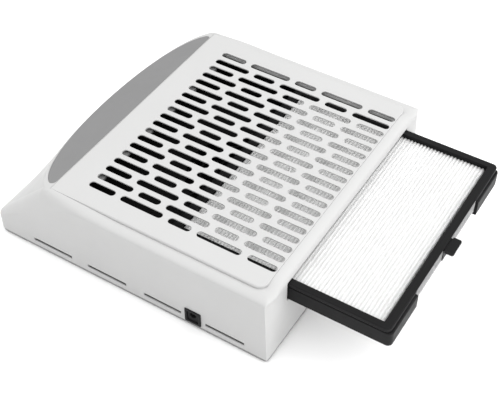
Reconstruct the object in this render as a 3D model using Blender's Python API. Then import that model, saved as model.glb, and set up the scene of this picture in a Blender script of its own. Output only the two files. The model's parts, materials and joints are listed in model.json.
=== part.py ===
"""Nail dust collector: a table-top suction box with a slotted deck, a pull-out filter cassette and a fan.

Sizes are in metres. Inside the script x runs back from the front lip, y is measured from the centre
plane and z from the casing's lower edge. The empty casing_origin carries that frame to the scene's
origin, which lies under the middle of the whole object with its cassette drawn out.
Run: blender --background --python part.py
"""

import math

import bmesh
import bpy
from mathutils import Matrix, Vector

# Casing
CASE_LENGTH = 0.260
CASE_WIDTH = 0.250
DECK_HEIGHT = 0.070
WALL = 0.0024
GAP = 0.0003  # left between two pieces that touch
SEAM_HEIGHT = 0.0025  # the casing's lower edge stands this far above the base plate's underside
FOOT_HEIGHT = 0.0015  # how far the feet stand out below the base plate
HALF_LENGTH_OUT = 0.1745  # half the overall length with the cassette drawn out
FRONT_CORNER = 0.006
BACK_CORNER = 0.0025

# Front slope, facet and shoulders
LIP_HEIGHT = 0.0170
SLOPE_START = (0.0019, 0.0208)
CHORD_X = 0.058  # where the facet meets the deck
FACET_TILT = math.radians(15)
RIDGE_HALF_WIDTH = 0.118
RIDGE_DEPTH = 0.0343
SEAT_HEIGHT = 0.0675  # the casing's flat top, on which the deck panel lies
SHOULDER_START = 0.116
SHOULDER_WIDTH = 0.009
BACK_SHOULDER_X = 0.251
BACK_SHOULDER_DROP = 0.0020
SIDE_EDGE = ((0.005, 0.0210), (0.0648, 0.0559), (0.080, 0.0620), (0.095, 0.0638), (0.260, 0.0638))

# Deck panel and its slots
PANEL_FRONT = CHORD_X + GAP
PANEL_BACK = 0.2505
PANEL_HALF_WIDTH = 0.116
PANEL_CORNER = 0.008
OPENING_FRONT = 0.068
OPENING_BACK = 0.2480
OPENING_HALF_WIDTH = 0.0968
FIELD_UNDERSIDE = 0.0690  # the slotted field is thinner than the panel's border
FIELD_FRONT = 0.0700
FIELD_HALF_WIDTH = 0.1100
SLOT_ROWS = 19
ROW_PITCH = 0.01056
SLOT_WIDTH = 0.0060
SLOT_PERIOD = 0.0702
LONG_SLOT = 0.0387
SHORT_SLOT = 0.0203
PATTERN_CENTRE = 0.16465
PATTERN_FRONT = 0.0803
PATTERN_BACK = 0.2493
LUG_ROWS = range(1, SLOT_ROWS, 3)
LUG_HALF_WIDTH = 0.0042
LUG_BOTTOM = 0.0647

# Trim panel: half an ellipse on the facet, with rounded tips
TRIM_HALF_WIDTH = 0.112
TRIM_DEPTH = 0.034
TRIM_TIP = 0.0038
TRIM_TIP_TURN = math.radians(80)  # where along the ellipse the round tip takes over
TRIM_THICKNESS = 0.0012

# Filter cassette, drawn part way out
CASSETTE_IN = 0.1560  # x of its inner end
CASSETTE_OUT = 0.3410  # x of the rim's outer end and of the end wall's middle
TRAY_OUT = 0.3428  # x of the tray's outer corners
CASSETTE_HALF_WIDTH = 0.09665
CASSETTE_BOTTOM = 0.0453
TRAY_TOP = 0.0593
RIM_BOTTOM = 0.0596
RIM_TOP = 0.0637
WINDOW_HALF_WIDTH = 0.0908  # the rim's and the tray's opening over the medium
WINDOW_FRONT = 0.1630
RIM_WINDOW_BACK = 0.3340
TRAY_WINDOW_BACK = 0.3328
MEDIA_TOP = 0.0610
MEDIA_BOTTOM = 0.0471
PLEAT_PITCH = 0.00298
PLEAT_DEPTH = 0.0042
CUTOUT_FRONT = 0.3352  # how far in the end wall is cut away
CUTOUT_REACH = 0.054  # half the width of the cut in the end wall
CUTOUT_TOP = 0.0490
HEM_NEAR = 0.009
HEM_STEP = 0.3368  # where the hem rises under the rim's lip
HEM_OUT = 0.3405
HEM_TOP = 0.0628
TAB_TIP = 0.3490
TAB_HALF_WIDTH = 0.0085
TAB_BOTTOM = 0.0600
TAB_TOP = 0.0620
RAIL_FRONT = 0.076
RAIL_SHELF = 0.0890
RAIL_FLANGE = 0.1110
RAIL_THICKNESS = 0.0020

# Fan and motor, upright in the middle of the floor
FAN_X = 0.160
IMPELLER_RADIUS = 0.062
BLADE_INNER_RADIUS = 0.048
BLADE_COUNT = 26
BLADE_SWEEP = math.radians(9)
IMPELLER_FLOOR = 0.0080
IMPELLER_PLATE = 0.0016
IMPELLER_TOP = 0.0300
CUP_RADIUS = 0.026
CUP_TOP = 0.0240
CUP_BOTTOM = 0.0076
CUP_THICKNESS = 0.0012
HUB_THICKNESS = 0.0018
SHAFT_RADIUS = 0.0015
TUBE_RADIUS = 0.0065
TUBE_TOP = 0.0222
BEARING_RADIUS = 0.0040
BEARING_HEIGHT = 0.0040
SHAFT_CLEARANCE = 0.0001

# Fan deck, the partition under the filter
FAN_DECK_BOTTOM = 0.0360
FAN_DECK_TOP = 0.0385
FAN_DECK_FRONT = 0.034
INLET_RADIUS = 0.048
GUARD_RADIUS = 0.053
GUARD_RINGS = 3
GUARD_SPOKES = 6
GUARD_BAR = 0.0020

# Side features
SLIT_SPANS = ((0.038, 0.077), (0.093, 0.131), (0.148, 0.183), (0.205, 0.240))
SLIT_BOTTOM = 0.0073
SLIT_TOP = 0.0099
JACK_X = 0.19425
JACK_Z = 0.0111
SOCKET_RISE = 0.0016  # the socket sits this far above the inlet's middle
SOCKET_RADIUS = 0.0028
SOCKET_DEPTH = 0.0090
PIN_RADIUS = 0.0010
PIN_DROP = 0.0020  # how far the pin's tip lies behind the inlet's face
BEZEL_SIZE = 0.0145
BEZEL_PROUD = 0.0008
BEZEL_LIP = 0.0010  # how far a flange covers the wall round its opening
BEZEL_WALL = 0.0008
SWITCH_X = 0.215
SWITCH_Z = 0.0280
SWITCH_FLANGE = (0.0105, 0.0075)  # half sizes along x and z
SWITCH_BLOCK = (0.0095, 0.0065)
SWITCH_WELL = (0.0089, 0.0057)
ROCKER_AXIS_Y = 0.1217
ROCKER_TILT = math.radians(7)

# Fasteners and supports: (x, y) on the floor
BOSS_PLACES = ((0.016, 0.106), (0.130, 0.1165), (0.251, 0.1165))
CASE_BOSSES = [(x, side * y) for x, y in BOSS_PLACES for side in (-1, 1)]
POSTS = [(x, side * 0.092) for x in (0.066, 0.244) for side in (-1, 1)]
MOTOR_SCREW_CIRCLE = 0.018
BOARD_CENTRE = (0.212, -0.100)
BOARD_SIZE = (0.044, 0.026)
BOARD_HOLE_REACH = (0.018, 0.009)
BOARD_HOLES = [tuple(c + side * r for c, r in zip(BOARD_CENTRE, BOARD_HOLE_REACH)) for side in (-1, 1)]
FEET = [(x, side * 0.108) for x in (0.034, 0.234) for side in (-1, 1)]
BOSS_RADIUS = 0.0036
SCREW_RADIUS = 0.0012
SCREW_HOLE = 0.0015

LOOKS = {  # base colour, roughness, metallic
    "white_plastic": ((0.80, 0.80, 0.79), 0.42, 0.0),
    "grey_trim": ((0.34, 0.34, 0.34), 0.45, 0.0),
    "base_plastic": ((0.30, 0.30, 0.30), 0.55, 0.0),
    "black_plastic": ((0.020, 0.020, 0.021), 0.40, 0.0),
    "filter_paper": ((0.88, 0.88, 0.86), 0.95, 0.0),
    "steel": ((0.55, 0.55, 0.56), 0.32, 1.0),
    "magnet": ((0.08, 0.08, 0.085), 0.60, 0.6),
    "aluminium": ((0.75, 0.75, 0.76), 0.35, 1.0),
    "copper_winding": ((0.48, 0.18, 0.07), 0.40, 0.8),
    "circuit_board": ((0.015, 0.13, 0.05), 0.45, 0.0),
    "rubber": ((0.03, 0.03, 0.03), 0.85, 0.0),
    "lead": ((0.04, 0.04, 0.045), 0.60, 0.0),
}


# ---------------------------------------------------------------- helpers


def material(look):
    """The Principled material of that name, made on first use."""
    made = bpy.data.materials.get(look)
    if made:
        return made
    colour, roughness, metallic = LOOKS[look]
    made = bpy.data.materials.new(look)
    made.use_nodes = True
    made.diffuse_color = (*colour, 1)
    shader = made.node_tree.nodes["Principled BSDF"]
    shader.inputs["Base Color"].default_value = (*colour, 1)
    shader.inputs["Roughness"].default_value = roughness
    shader.inputs["Metallic"].default_value = metallic
    return made


def add(name, data, parent, look=None):
    """An object in the scene, under its parent empty; with no look it is a hidden cutter."""
    made = bpy.data.objects.new(name, data)
    bpy.context.scene.collection.objects.link(made)
    made.parent = parent
    if look:
        made.data.materials.append(material(look))
    else:
        made.hide_render = True
        made.display_type = "WIRE"
    return made


def add_mesh(name, bm, parent, look=None, smooth=None):
    """The bmesh as an object, faces out; smooth is the angle above which an edge stays sharp."""
    bmesh.ops.recalc_face_normals(bm, faces=bm.faces[:])
    if bm.calc_volume(signed=True) < 0:
        bmesh.ops.reverse_faces(bm, faces=bm.faces[:])
    mesh = bpy.data.meshes.new(name)
    bm.to_mesh(mesh)
    bm.free()
    if smooth:
        mesh.shade_smooth()
        mesh.set_sharp_from_angle(angle=math.radians(smooth))
    return add(name, mesh, parent, look)


def add_empty(name, location, parent=None):
    empty = bpy.data.objects.new(name, None)
    bpy.context.scene.collection.objects.link(empty)
    empty.location = location
    empty.parent = parent
    empty.empty_display_size = 0.02
    return empty


def combine(target, other, operation, crossing=False):
    """A Boolean modifier on the target; crossing is for a tool whose own bodies overlap."""
    modifier = target.modifiers.new(other.name, "BOOLEAN")
    modifier.operation = operation
    modifier.object = other
    modifier.solver = "EXACT"
    modifier.use_self = crossing


def box_into(bm, low, high):
    """Adds the box between two corners."""
    size = Vector(high) - Vector(low)
    middle = (Vector(high) + Vector(low)) / 2
    bmesh.ops.create_cube(bm, size=1, matrix=Matrix.Translation(middle) @ Matrix.Diagonal((*size, 1)))


def box(name, low, high, parent, look=None):
    bm = bmesh.new()
    box_into(bm, low, high)
    return add_mesh(name, bm, parent, look)


def cylinder_into(bm, centre, radius, bottom, top, segments=16):
    bmesh.ops.create_cone(
        bm,
        cap_ends=True,
        segments=segments,
        radius1=radius,
        radius2=radius,
        depth=top - bottom,
        matrix=Matrix.Translation((centre[0], centre[1], (bottom + top) / 2)),
    )


def plate_into(bm, outline, holes, bottom, top):
    """Adds a flat plate: an outline in x and y with holes through it."""
    first = len(bm.verts)
    edges = []
    for loop in (outline, *holes):
        verts = [bm.verts.new((x, y, bottom)) for x, y in loop]
        edges += [bm.edges.new(pair) for pair in zip(verts, verts[1:] + verts[:1])]
    filled = bmesh.ops.triangle_fill(bm, use_beauty=True, edges=edges)
    faces = [item for item in filled["geom"] if isinstance(item, bmesh.types.BMFace)]
    raised = bmesh.ops.extrude_face_region(bm, geom=faces)
    lifted = [item for item in raised["geom"] if isinstance(item, bmesh.types.BMVert)]
    bmesh.ops.translate(bm, verts=lifted, vec=(0, 0, top - bottom))
    bm.verts.ensure_lookup_table()
    return bm.verts[first:]


def plate(name, outline, holes, bottom, top, parent, look=None):
    bm = bmesh.new()
    plate_into(bm, outline, holes, bottom, top)
    return add_mesh(name, bm, parent, look)


def prism(name, points, start, end, parent, look=None):
    """Extrudes a closed outline, given as 3-D points in one plane, from start to end."""
    bm = bmesh.new()
    first = [bm.verts.new(Vector(point) + Vector(start)) for point in points]
    last = [bm.verts.new(Vector(point) + Vector(end)) for point in points]
    bm.faces.new(first)
    bm.faces.new(reversed(last))
    for i in range(len(points)):
        j = (i + 1) % len(points)
        bm.faces.new((first[i], last[i], last[j], first[j]))
    return add_mesh(name, bm, parent, look)


def turned(name, profile, centre, parent, look=None, segments=24, smooth=35):
    """Turns a closed outline of (radius, height) points about the upright line through centre."""
    bm = bmesh.new()
    rings = []
    for radius, height in profile:
        if radius == 0:
            rings.append([bm.verts.new((*centre, height))])
            continue
        turns = [2 * math.pi * k / segments for k in range(segments)]
        places = [(centre[0] + radius * math.cos(t), centre[1] + radius * math.sin(t), height) for t in turns]
        rings.append([bm.verts.new(place) for place in places])
    for i, ring in enumerate(rings):
        following = rings[(i + 1) % len(rings)]
        for k in range(segments):
            corners = [ring[k % len(ring)], ring[(k + 1) % len(ring)]]
            corners += [following[(k + 1) % len(following)], following[k % len(following)]]
            corners = list(dict.fromkeys(corners))
            if len(corners) > 2:
                bm.faces.new(corners)
    return add_mesh(name, bm, parent, look, smooth)


def arc(centre, radius, start, end, steps):
    """Points along an arc, angles in degrees."""
    angles = [math.radians(start + (end - start) * k / steps) for k in range(steps + 1)]
    return [(centre[0] + radius * math.cos(a), centre[1] + radius * math.sin(a)) for a in angles]


def rounded_rectangle(front, back, half_width, front_radius, back_radius, steps=4):
    """A rectangle in x and y, even about y = 0, with rounded corners."""
    points = arc((back - back_radius, half_width - back_radius), back_radius, 0, 90, steps)
    points += arc((front + front_radius, half_width - front_radius), front_radius, 90, 180, steps)
    points += arc((front + front_radius, front_radius - half_width), front_radius, 180, 270, steps)
    points += arc((back - back_radius, back_radius - half_width), back_radius, 270, 360, steps)
    return points


def rectangle(front, back, half_width):
    return [(front, -half_width), (back, -half_width), (back, half_width), (front, half_width)]


def rectangle_corners(half_x, half_y):
    return rectangle(-half_x, half_x, half_y)


def slot(middle, y, length, width, steps=3):
    """A slot along x with round ends."""
    radius = width / 2
    reach = length / 2 - radius
    return arc((middle + reach, y), radius, -90, 90, steps) + arc((middle - reach, y), radius, 90, 270, steps)


def circle(centre, radius, steps=16):
    return arc(centre, radius, 0, 360 * (steps - 1) / steps, steps - 1)


# ---------------------------------------------------------------- upper casing


def rounding(share):
    """How far a quarter circle has dropped, from 0 at share 0 to 1 at share 1."""
    share = min(max(share, 0), 1)
    return 1 - math.sqrt(1 - share * share)


def side_edge(x):
    """Height of the casing's edge along its vertical side."""
    for (x0, z0), (x1, z1) in zip(SIDE_EDGE, SIDE_EDGE[1:]):
        if x <= x1:
            return z0 + (z1 - z0) * max(x - x0, 0) / (x1 - x0)
    return SIDE_EDGE[-1][1]


def casing_profile(across, rounded=True):
    """The casing's outline in x and z at a distance from its centre plane, from front foot to back foot."""
    core = min(across, SHOULDER_START)
    side_share = (across - SHOULDER_START) / SHOULDER_WIDTH
    half_width = CASE_WIDTH / 2
    front = FRONT_CORNER * rounding((across - half_width + FRONT_CORNER) / FRONT_CORNER)
    back = CASE_LENGTH - BACK_CORNER * rounding((across - half_width + BACK_CORNER) / BACK_CORNER)
    ridge_x = CHORD_X - RIDGE_DEPTH * math.sqrt(1 - (core / RIDGE_HALF_WIDTH) ** 2)
    ridge_z = DECK_HEIGHT - (CHORD_X - ridge_x) * math.tan(FACET_TILT)
    start_x, start_z = SLOPE_START
    seat_x = CHORD_X + 0.008 * min(max(side_share * 3, 0), 1)
    rise_x, rise_z = ridge_x - start_x, ridge_z - start_z
    points = [(start_x + rise_x * k / 3, start_z + rise_z * k / 3) for k in range(4)]
    points += [(CHORD_X, DECK_HEIGHT), (seat_x, SEAT_HEIGHT), (0.080, SEAT_HEIGHT), (0.095, SEAT_HEIGHT)]
    lip = [(front, LIP_HEIGHT), (front + 0.0005, 0.0190)] if rounded else [(front, LIP_HEIGHT)]
    steps = (0, 0.45, 0.78, 0.94, 1) if rounded else (0, 1)
    for step in steps:
        points.append((BACK_SHOULDER_X + (back - BACK_SHOULDER_X) * step, SEAT_HEIGHT))
    shaped = [(front, 0), *lip]
    for x, z in points:
        back_share = (x - BACK_SHOULDER_X) / (back - BACK_SHOULDER_X)
        side_drop = (z - side_edge(x)) * rounding(side_share)
        back_drop = BACK_SHOULDER_DROP * rounding(back_share)
        place = x + front if x < CHORD_X / 2 else x
        shaped.append((place, z - max(side_drop, back_drop)))
    shaped.append((back, 0))
    return shaped


def inset_outline(points, distance):
    """Moves an open outline inwards, to the right of its direction, keeping its corners mitred."""
    moved = []
    for i, point in enumerate(points):
        here = Vector(point)
        before = (here - Vector(points[i - 1])).normalized() if i else None
        after = (Vector(points[i + 1]) - here).normalized() if i + 1 < len(points) else None
        before = before or after
        after = after or before
        normal = Vector((before.y, -before.x)) + Vector((after.y, -after.x))
        normal.normalize()
        reach = distance / max(normal.dot(Vector((before.y, -before.x))), 0.5)
        moved.append(tuple(here + normal * reach))
    return moved


def casing_solid(name, inset, bottom, parent, look=None):
    """The casing's outer form, or its cavity when inset by the wall, as one closed solid."""
    half = [0, 0.030, 0.055, 0.075, 0.090, 0.101, 0.109, 0.1135, 0.116]
    half += [0.1185, 0.1207, 0.1225, 0.1238, 0.1246, 0.1250]
    stations = [-across for across in reversed(half[1:])] + half
    shrink = (CASE_WIDTH / 2 - inset) / (CASE_WIDTH / 2)
    bm = bmesh.new()
    rows = []
    for station in stations:
        profile = casing_profile(abs(station), rounded=not inset)
        if inset:
            profile = inset_outline(profile, inset)
        profile[0] = (profile[0][0], bottom)
        profile[-1] = (profile[-1][0], bottom)
        rows.append([bm.verts.new((x, station * shrink, z)) for x, z in profile])
    for row, following in zip(rows, rows[1:]):
        for k in range(len(row) - 1):
            bm.faces.new((row[k], row[k + 1], following[k + 1], following[k]))
    bm.faces.new(rows[0])
    bm.faces.new(rows[-1])
    bm.faces.new([row[0] for row in rows] + [row[-1] for row in reversed(rows)])
    bmesh.ops.dissolve_degenerate(bm, dist=1e-6, edges=bm.edges[:])
    return add_mesh(name, bm, parent, look, smooth=30)


def facet_matrix():
    """The facet's own plane: x runs down the facet from the chord, z out of it."""
    tilt = Matrix.Rotation(-FACET_TILT, 4, "Y")
    return Matrix.Translation((CHORD_X, 0, DECK_HEIGHT)) @ tilt


def trim_outline(grow):
    """Half an ellipse below the chord, in the facet's plane, its tips rounded, offset outwards by grow."""
    half_width = TRIM_HALF_WIDTH
    depth = TRIM_DEPTH / math.cos(FACET_TILT)
    count = 20
    curve = []
    for k in range(count + 1):
        turn = TRIM_TIP_TURN * (1 - 2 * k / count)
        point = Vector((-depth * math.cos(turn), half_width * math.sin(turn)))
        normal = Vector((point.x / depth**2, point.y / half_width**2)).normalized()
        curve.append(point + normal * grow)
        if k == 0:
            tip_centre = point - normal * TRIM_TIP
            tip_angle = math.degrees(math.atan2(normal.y, normal.x))
    near = arc(tip_centre, TRIM_TIP + grow, 0, tip_angle, 5)[:-1]
    far = [(x, -y) for x, y in reversed(near)]
    return [tuple(point) for point in curve] + far + near


def on_facet(name, grow, bottom, top, parent, look=None):
    bm = bmesh.new()
    plate_into(bm, trim_outline(grow), [], bottom, top)
    bmesh.ops.transform(bm, matrix=facet_matrix(), verts=bm.verts[:])
    return add_mesh(name, bm, parent, look)


def side_cutters(parent):
    """Boxes through the side walls for the slits, the power inlet and the switch, and through the back."""
    bm = bmesh.new()
    inner = CASE_WIDTH / 2 - 2 * WALL
    outer = CASE_WIDTH / 2 + WALL
    for front, back in SLIT_SPANS:
        box_into(bm, (front, -outer, SLIT_BOTTOM), (back, -inner, SLIT_TOP))
        box_into(bm, (front, inner, SLIT_BOTTOM), (back, outer, SLIT_TOP))
    half = BEZEL_SIZE / 2 - BEZEL_LIP
    box_into(bm, (JACK_X - half, -outer, JACK_Z - half), (JACK_X + half, -inner, JACK_Z + half))
    half_x, half_z = SWITCH_BLOCK[0] + GAP, SWITCH_BLOCK[1] + GAP
    low = (SWITCH_X - half_x, inner, SWITCH_Z - half_z)
    box_into(bm, low, (SWITCH_X + half_x, outer, SWITCH_Z + half_z))
    slot_half = CASSETTE_HALF_WIDTH + 0.0010
    slot_low = (CASE_LENGTH - 2 * WALL, -slot_half, CASSETTE_BOTTOM - 0.0008)
    box_into(bm, slot_low, (CASE_LENGTH + WALL, slot_half, RIM_TOP + 0.0006))
    return add_mesh("side_wall_cutter", bm, parent)


def boss_bodies(parent):
    """Columns that stay solid inside the casing for the case screws."""
    bm = bmesh.new()
    for centre in CASE_BOSSES:
        cylinder_into(bm, centre, BOSS_RADIUS, SEAM_HEIGHT, DECK_HEIGHT * 2, 12)
    return add_mesh("boss_former", bm, parent)


def boss_holes(parent):
    bm = bmesh.new()
    for centre in CASE_BOSSES:
        cylinder_into(bm, centre, SCREW_HOLE, -0.002, 0.0135, 10)
    return add_mesh("boss_hole_cutter", bm, parent)


def upper_casing(parent):
    cavity = casing_solid("casing_cavity", WALL, -0.006, parent)
    combine(cavity, boss_bodies(parent), "DIFFERENCE")
    opening_outline = rounded_rectangle(OPENING_FRONT, OPENING_BACK, OPENING_HALF_WIDTH, 0.004, 0.004)
    opening_bottom, opening_top = SEAT_HEIGHT - 0.010, DECK_HEIGHT + 0.005
    opening = plate("deck_opening_cutter", opening_outline, [], opening_bottom, opening_top, parent)
    pocket = on_facet("trim_pocket_cutter", GAP, -TRIM_THICKNESS - GAP, 0.010, parent)
    casing = casing_solid("upper_casing", 0, SEAM_HEIGHT, parent, "white_plastic")
    for cutter in (cavity, opening, pocket, side_cutters(parent), boss_holes(parent)):
        combine(casing, cutter, "DIFFERENCE")
    return casing


# ---------------------------------------------------------------- deck panel and trim


def slot_spans(row):
    """The slots of one row as (front, back), long and short in turn; the end ones reach the ends."""
    spans = []
    for step in range(-3, 4):
        length = LONG_SLOT if (row + step) % 2 else SHORT_SLOT
        middle = PATTERN_CENTRE + step * SLOT_PERIOD / 2
        front = max(middle - length / 2, PATTERN_FRONT)
        back = min(middle + length / 2, PATTERN_BACK)
        if back - front > SLOT_WIDTH:
            spans.append((front, back))
    spans[0] = (PATTERN_FRONT, spans[0][1])
    spans[-1] = (spans[-1][0], PATTERN_BACK)
    return spans


def row_y(row):
    return (row - (SLOT_ROWS - 1) / 2) * ROW_PITCH


def deck_panel(parent):
    """The slotted panel: a border on the casing, a thinner field, lugs under some slots' ends."""
    outline = rounded_rectangle(PANEL_FRONT, PANEL_BACK, PANEL_HALF_WIDTH, 0.001, PANEL_CORNER)
    holes = []
    for row in range(SLOT_ROWS):
        holes += [slot((a + b) / 2, row_y(row), b - a, SLOT_WIDTH) for a, b in slot_spans(row)]
    panel = plate("deck_grille", outline, holes, SEAT_HEIGHT + GAP, DECK_HEIGHT, parent, "white_plastic")
    low = (FIELD_FRONT, -FIELD_HALF_WIDTH, SEAT_HEIGHT)
    relief = box("panel_relief", low, (PATTERN_BACK, FIELD_HALF_WIDTH, FIELD_UNDERSIDE), parent)
    combine(panel, relief, "DIFFERENCE")
    bm = bmesh.new()
    for row in LUG_ROWS:
        low = (PATTERN_FRONT - 0.0045, row_y(row) - LUG_HALF_WIDTH, LUG_BOTTOM)
        box_into(bm, low, (PATTERN_FRONT - 0.0005, row_y(row) + LUG_HALF_WIDTH, FIELD_UNDERSIDE + GAP))
        box_into(bm, low, (PATTERN_FRONT + 0.0045, row_y(row) + LUG_HALF_WIDTH, SEAT_HEIGHT - 0.0005))
    combine(panel, add_mesh("panel_lugs", bm, parent), "UNION", crossing=True)
    return panel


def trim_panel(parent):
    return on_facet("trim_panel", 0, -TRIM_THICKNESS, 0, parent, "grey_trim")


# ---------------------------------------------------------------- base plate and feet


def base_plate(parent):
    """The floor: screw holes with counterbores, posts for the fan deck and the board, foot recesses."""
    inset = 0.0004
    half_width = CASE_WIDTH / 2 - inset
    outline = rounded_rectangle(inset, CASE_LENGTH - inset, half_width, FRONT_CORNER, BACK_CORNER)
    floor_top = SEAM_HEIGHT - GAP
    base = plate("base_plate", outline, [], 0, floor_top, parent, "base_plastic")
    raised = bmesh.new()
    for centre in POSTS:
        cylinder_into(raised, centre, BOSS_RADIUS, 0.001, FAN_DECK_BOTTOM - GAP, 12)
    for centre in BOARD_HOLES:
        cylinder_into(raised, centre, 0.0026, 0.001, 0.0056, 10)
    combine(base, add_mesh("base_posts", raised, parent), "UNION")
    bored = bmesh.new()
    for centre in CASE_BOSSES:
        cylinder_into(bored, centre, SCREW_HOLE, -0.001, 0.004, 10)
        cylinder_into(bored, centre, 0.0030, -0.001, 0.0010, 12)
    for centre in FEET:
        cylinder_into(bored, centre, 0.0065, -0.001, 0.0008, 16)
    for centre in POSTS:
        cylinder_into(bored, centre, SCREW_HOLE, FAN_DECK_BOTTOM - 0.010, 0.040, 10)
    for centre in BOARD_HOLES:
        cylinder_into(bored, centre, SCREW_HOLE, 0.0012, 0.010, 10)
    for k in range(3):
        cylinder_into(bored, motor_screw_place(k), SCREW_HOLE, 0.0010, 0.004, 10)
    combine(base, add_mesh("base_hole_cutter", bored, parent), "DIFFERENCE", crossing=True)
    return base


def foot(index, centre, parent):
    bottom = -FOOT_HEIGHT
    profile = [(0, bottom), (0.0050, bottom), (0.0062, bottom + 0.0008), (0.0062, 0.0005), (0, 0.0005)]
    turned(f"foot_{index}", profile[::-1], centre, parent, "rubber", 20)


def screw(name, centre, head_z, tip_z, parent):
    """A pan-head screw: its head seat at head_z and its point towards tip_z, up or down."""
    up = 1 if tip_z > head_z else -1
    head_end = head_z - up * 0.0007
    profile = [(0, head_end), (0.0018, head_end), (0.0024, head_z - up * 0.0003), (0.0024, head_z)]
    profile += [(SCREW_RADIUS, head_z), (SCREW_RADIUS, tip_z - up * 0.001), (0, tip_z)]
    turned(name, profile[::-up], centre, parent, "steel", 10)


# ---------------------------------------------------------------- fan deck, guard and rails


def fan_deck(parent):
    outline = rounded_rectangle(FAN_DECK_FRONT, CASE_LENGTH - WALL - 0.0006, 0.1216, 0.010, 0.002)
    holes = [circle((FAN_X, 0), INLET_RADIUS, 40)]
    holes += [circle(centre, SCREW_HOLE, 10) for centre in POSTS]
    deck = plate("fan_deck", outline, holes, FAN_DECK_BOTTOM, FAN_DECK_TOP, parent, "black_plastic")
    notches = bmesh.new()
    for x, y in CASE_BOSSES[2:]:
        side = math.copysign(1, y)
        reach = BOSS_RADIUS + 0.0008
        low_y, high_y = sorted((y - side * reach, side * CASE_WIDTH / 2))
        back = CASE_LENGTH if x > FAN_X else x + reach
        box_into(notches, (x - reach, low_y, 0.031), (back, high_y, 0.044))
    former = add_mesh("fan_deck_notch_cutter", notches, parent)
    combine(deck, former, "DIFFERENCE")
    return deck


def fan_guard(parent):
    """Rings joined by spokes over the fan inlet."""
    centre = (FAN_X, 0)
    inner = 0.009
    pitch = (INLET_RADIUS - inner) / GUARD_RINGS
    holes = []
    for ring in range(GUARD_RINGS):
        low = inner + ring * pitch + GUARD_BAR / 2
        high = inner + (ring + 1) * pitch - GUARD_BAR / 2
        for spoke in range(GUARD_SPOKES):
            first = 360 * spoke / GUARD_SPOKES
            last = 360 * (spoke + 1) / GUARD_SPOKES
            low_trim = math.degrees(GUARD_BAR / 2 / low)
            high_trim = math.degrees(GUARD_BAR / 2 / high)
            outer_arc = arc(centre, high, first + high_trim, last - high_trim, 3)
            holes.append(outer_arc + arc(centre, low, last - low_trim, first + low_trim, 3))
    outline = circle(centre, GUARD_RADIUS, 40)
    top = FAN_DECK_TOP + GAP + 0.0016
    return plate("fan_guard", outline, holes, FAN_DECK_TOP + GAP, top, parent, "black_plastic")


def guide_rail(name, side, parent):
    """Shelf under the cassette's edge, web beside it and a flange that is bonded under the casing's top."""
    shelf_top = CASSETTE_BOTTOM - GAP
    shelf_bottom = shelf_top - RAIL_THICKNESS
    web_inner = CASSETTE_HALF_WIDTH + 0.0005
    web_outer = web_inner + RAIL_THICKNESS
    ceiling = SEAT_HEIGHT - WALL - GAP
    flange_bottom = ceiling - RAIL_THICKNESS
    profile = [(RAIL_SHELF, shelf_top), (RAIL_SHELF, shelf_bottom), (web_outer, shelf_bottom)]
    profile += [(web_outer, flange_bottom), (RAIL_FLANGE, flange_bottom), (RAIL_FLANGE, ceiling)]
    profile += [(web_inner, ceiling), (web_inner, shelf_top)]
    points = [(0, side * y, z) for y, z in profile]
    return prism(name, points, (RAIL_FRONT, 0, 0), (BACK_SHOULDER_X - GAP, 0, 0), parent, "black_plastic")


# ---------------------------------------------------------------- motor and fan


def motor_screw_place(index):
    angle = 2 * math.pi * index / 3 + math.pi / 6
    return (FAN_X + MOTOR_SCREW_CIRCLE * math.cos(angle), MOTOR_SCREW_CIRCLE * math.sin(angle))


def motor_mount(parent):
    """Flange on the floor with the tube that holds the bearings."""
    floor = SEAM_HEIGHT
    profile = [(BEARING_RADIUS + 0.0001, TUBE_TOP), (TUBE_RADIUS, TUBE_TOP), (TUBE_RADIUS, floor + 0.0020)]
    profile += [(0.0240, floor + 0.0020), (0.0240, floor), (BEARING_RADIUS + 0.0001, floor)]
    mount = turned("motor_mount", profile, (FAN_X, 0), parent, "aluminium", 24)
    bored = bmesh.new()
    for k in range(3):
        cylinder_into(bored, motor_screw_place(k), SCREW_HOLE, 0, 0.008, 10)
    combine(mount, add_mesh("mount_hole_cutter", bored, parent), "DIFFERENCE")
    return mount


def motor_stator(parent):
    """Nine wound poles round the bearing tube."""
    poles = 9
    outline = []
    for pole in range(poles):
        middle = 360 * pole / poles
        outline += arc((FAN_X, 0), 0.0130, middle - 17, middle - 9, 1)
        outline += arc((FAN_X, 0), 0.0205, middle - 15, middle + 15, 3)
        outline += arc((FAN_X, 0), 0.0130, middle + 9, middle + 17, 1)
    hole = circle((FAN_X, 0), TUBE_RADIUS + GAP, 24)
    return plate("motor_stator", outline, [hole], 0.0095, 0.0185, parent, "copper_winding")


def bearing(name, bottom, parent):
    bore = SHAFT_RADIUS + SHAFT_CLEARANCE
    top = bottom + BEARING_HEIGHT
    profile = [(bore, top), (BEARING_RADIUS, top), (BEARING_RADIUS, bottom), (bore, bottom)]
    return turned(name, profile, (FAN_X, 0), parent, "steel", 24)


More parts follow.
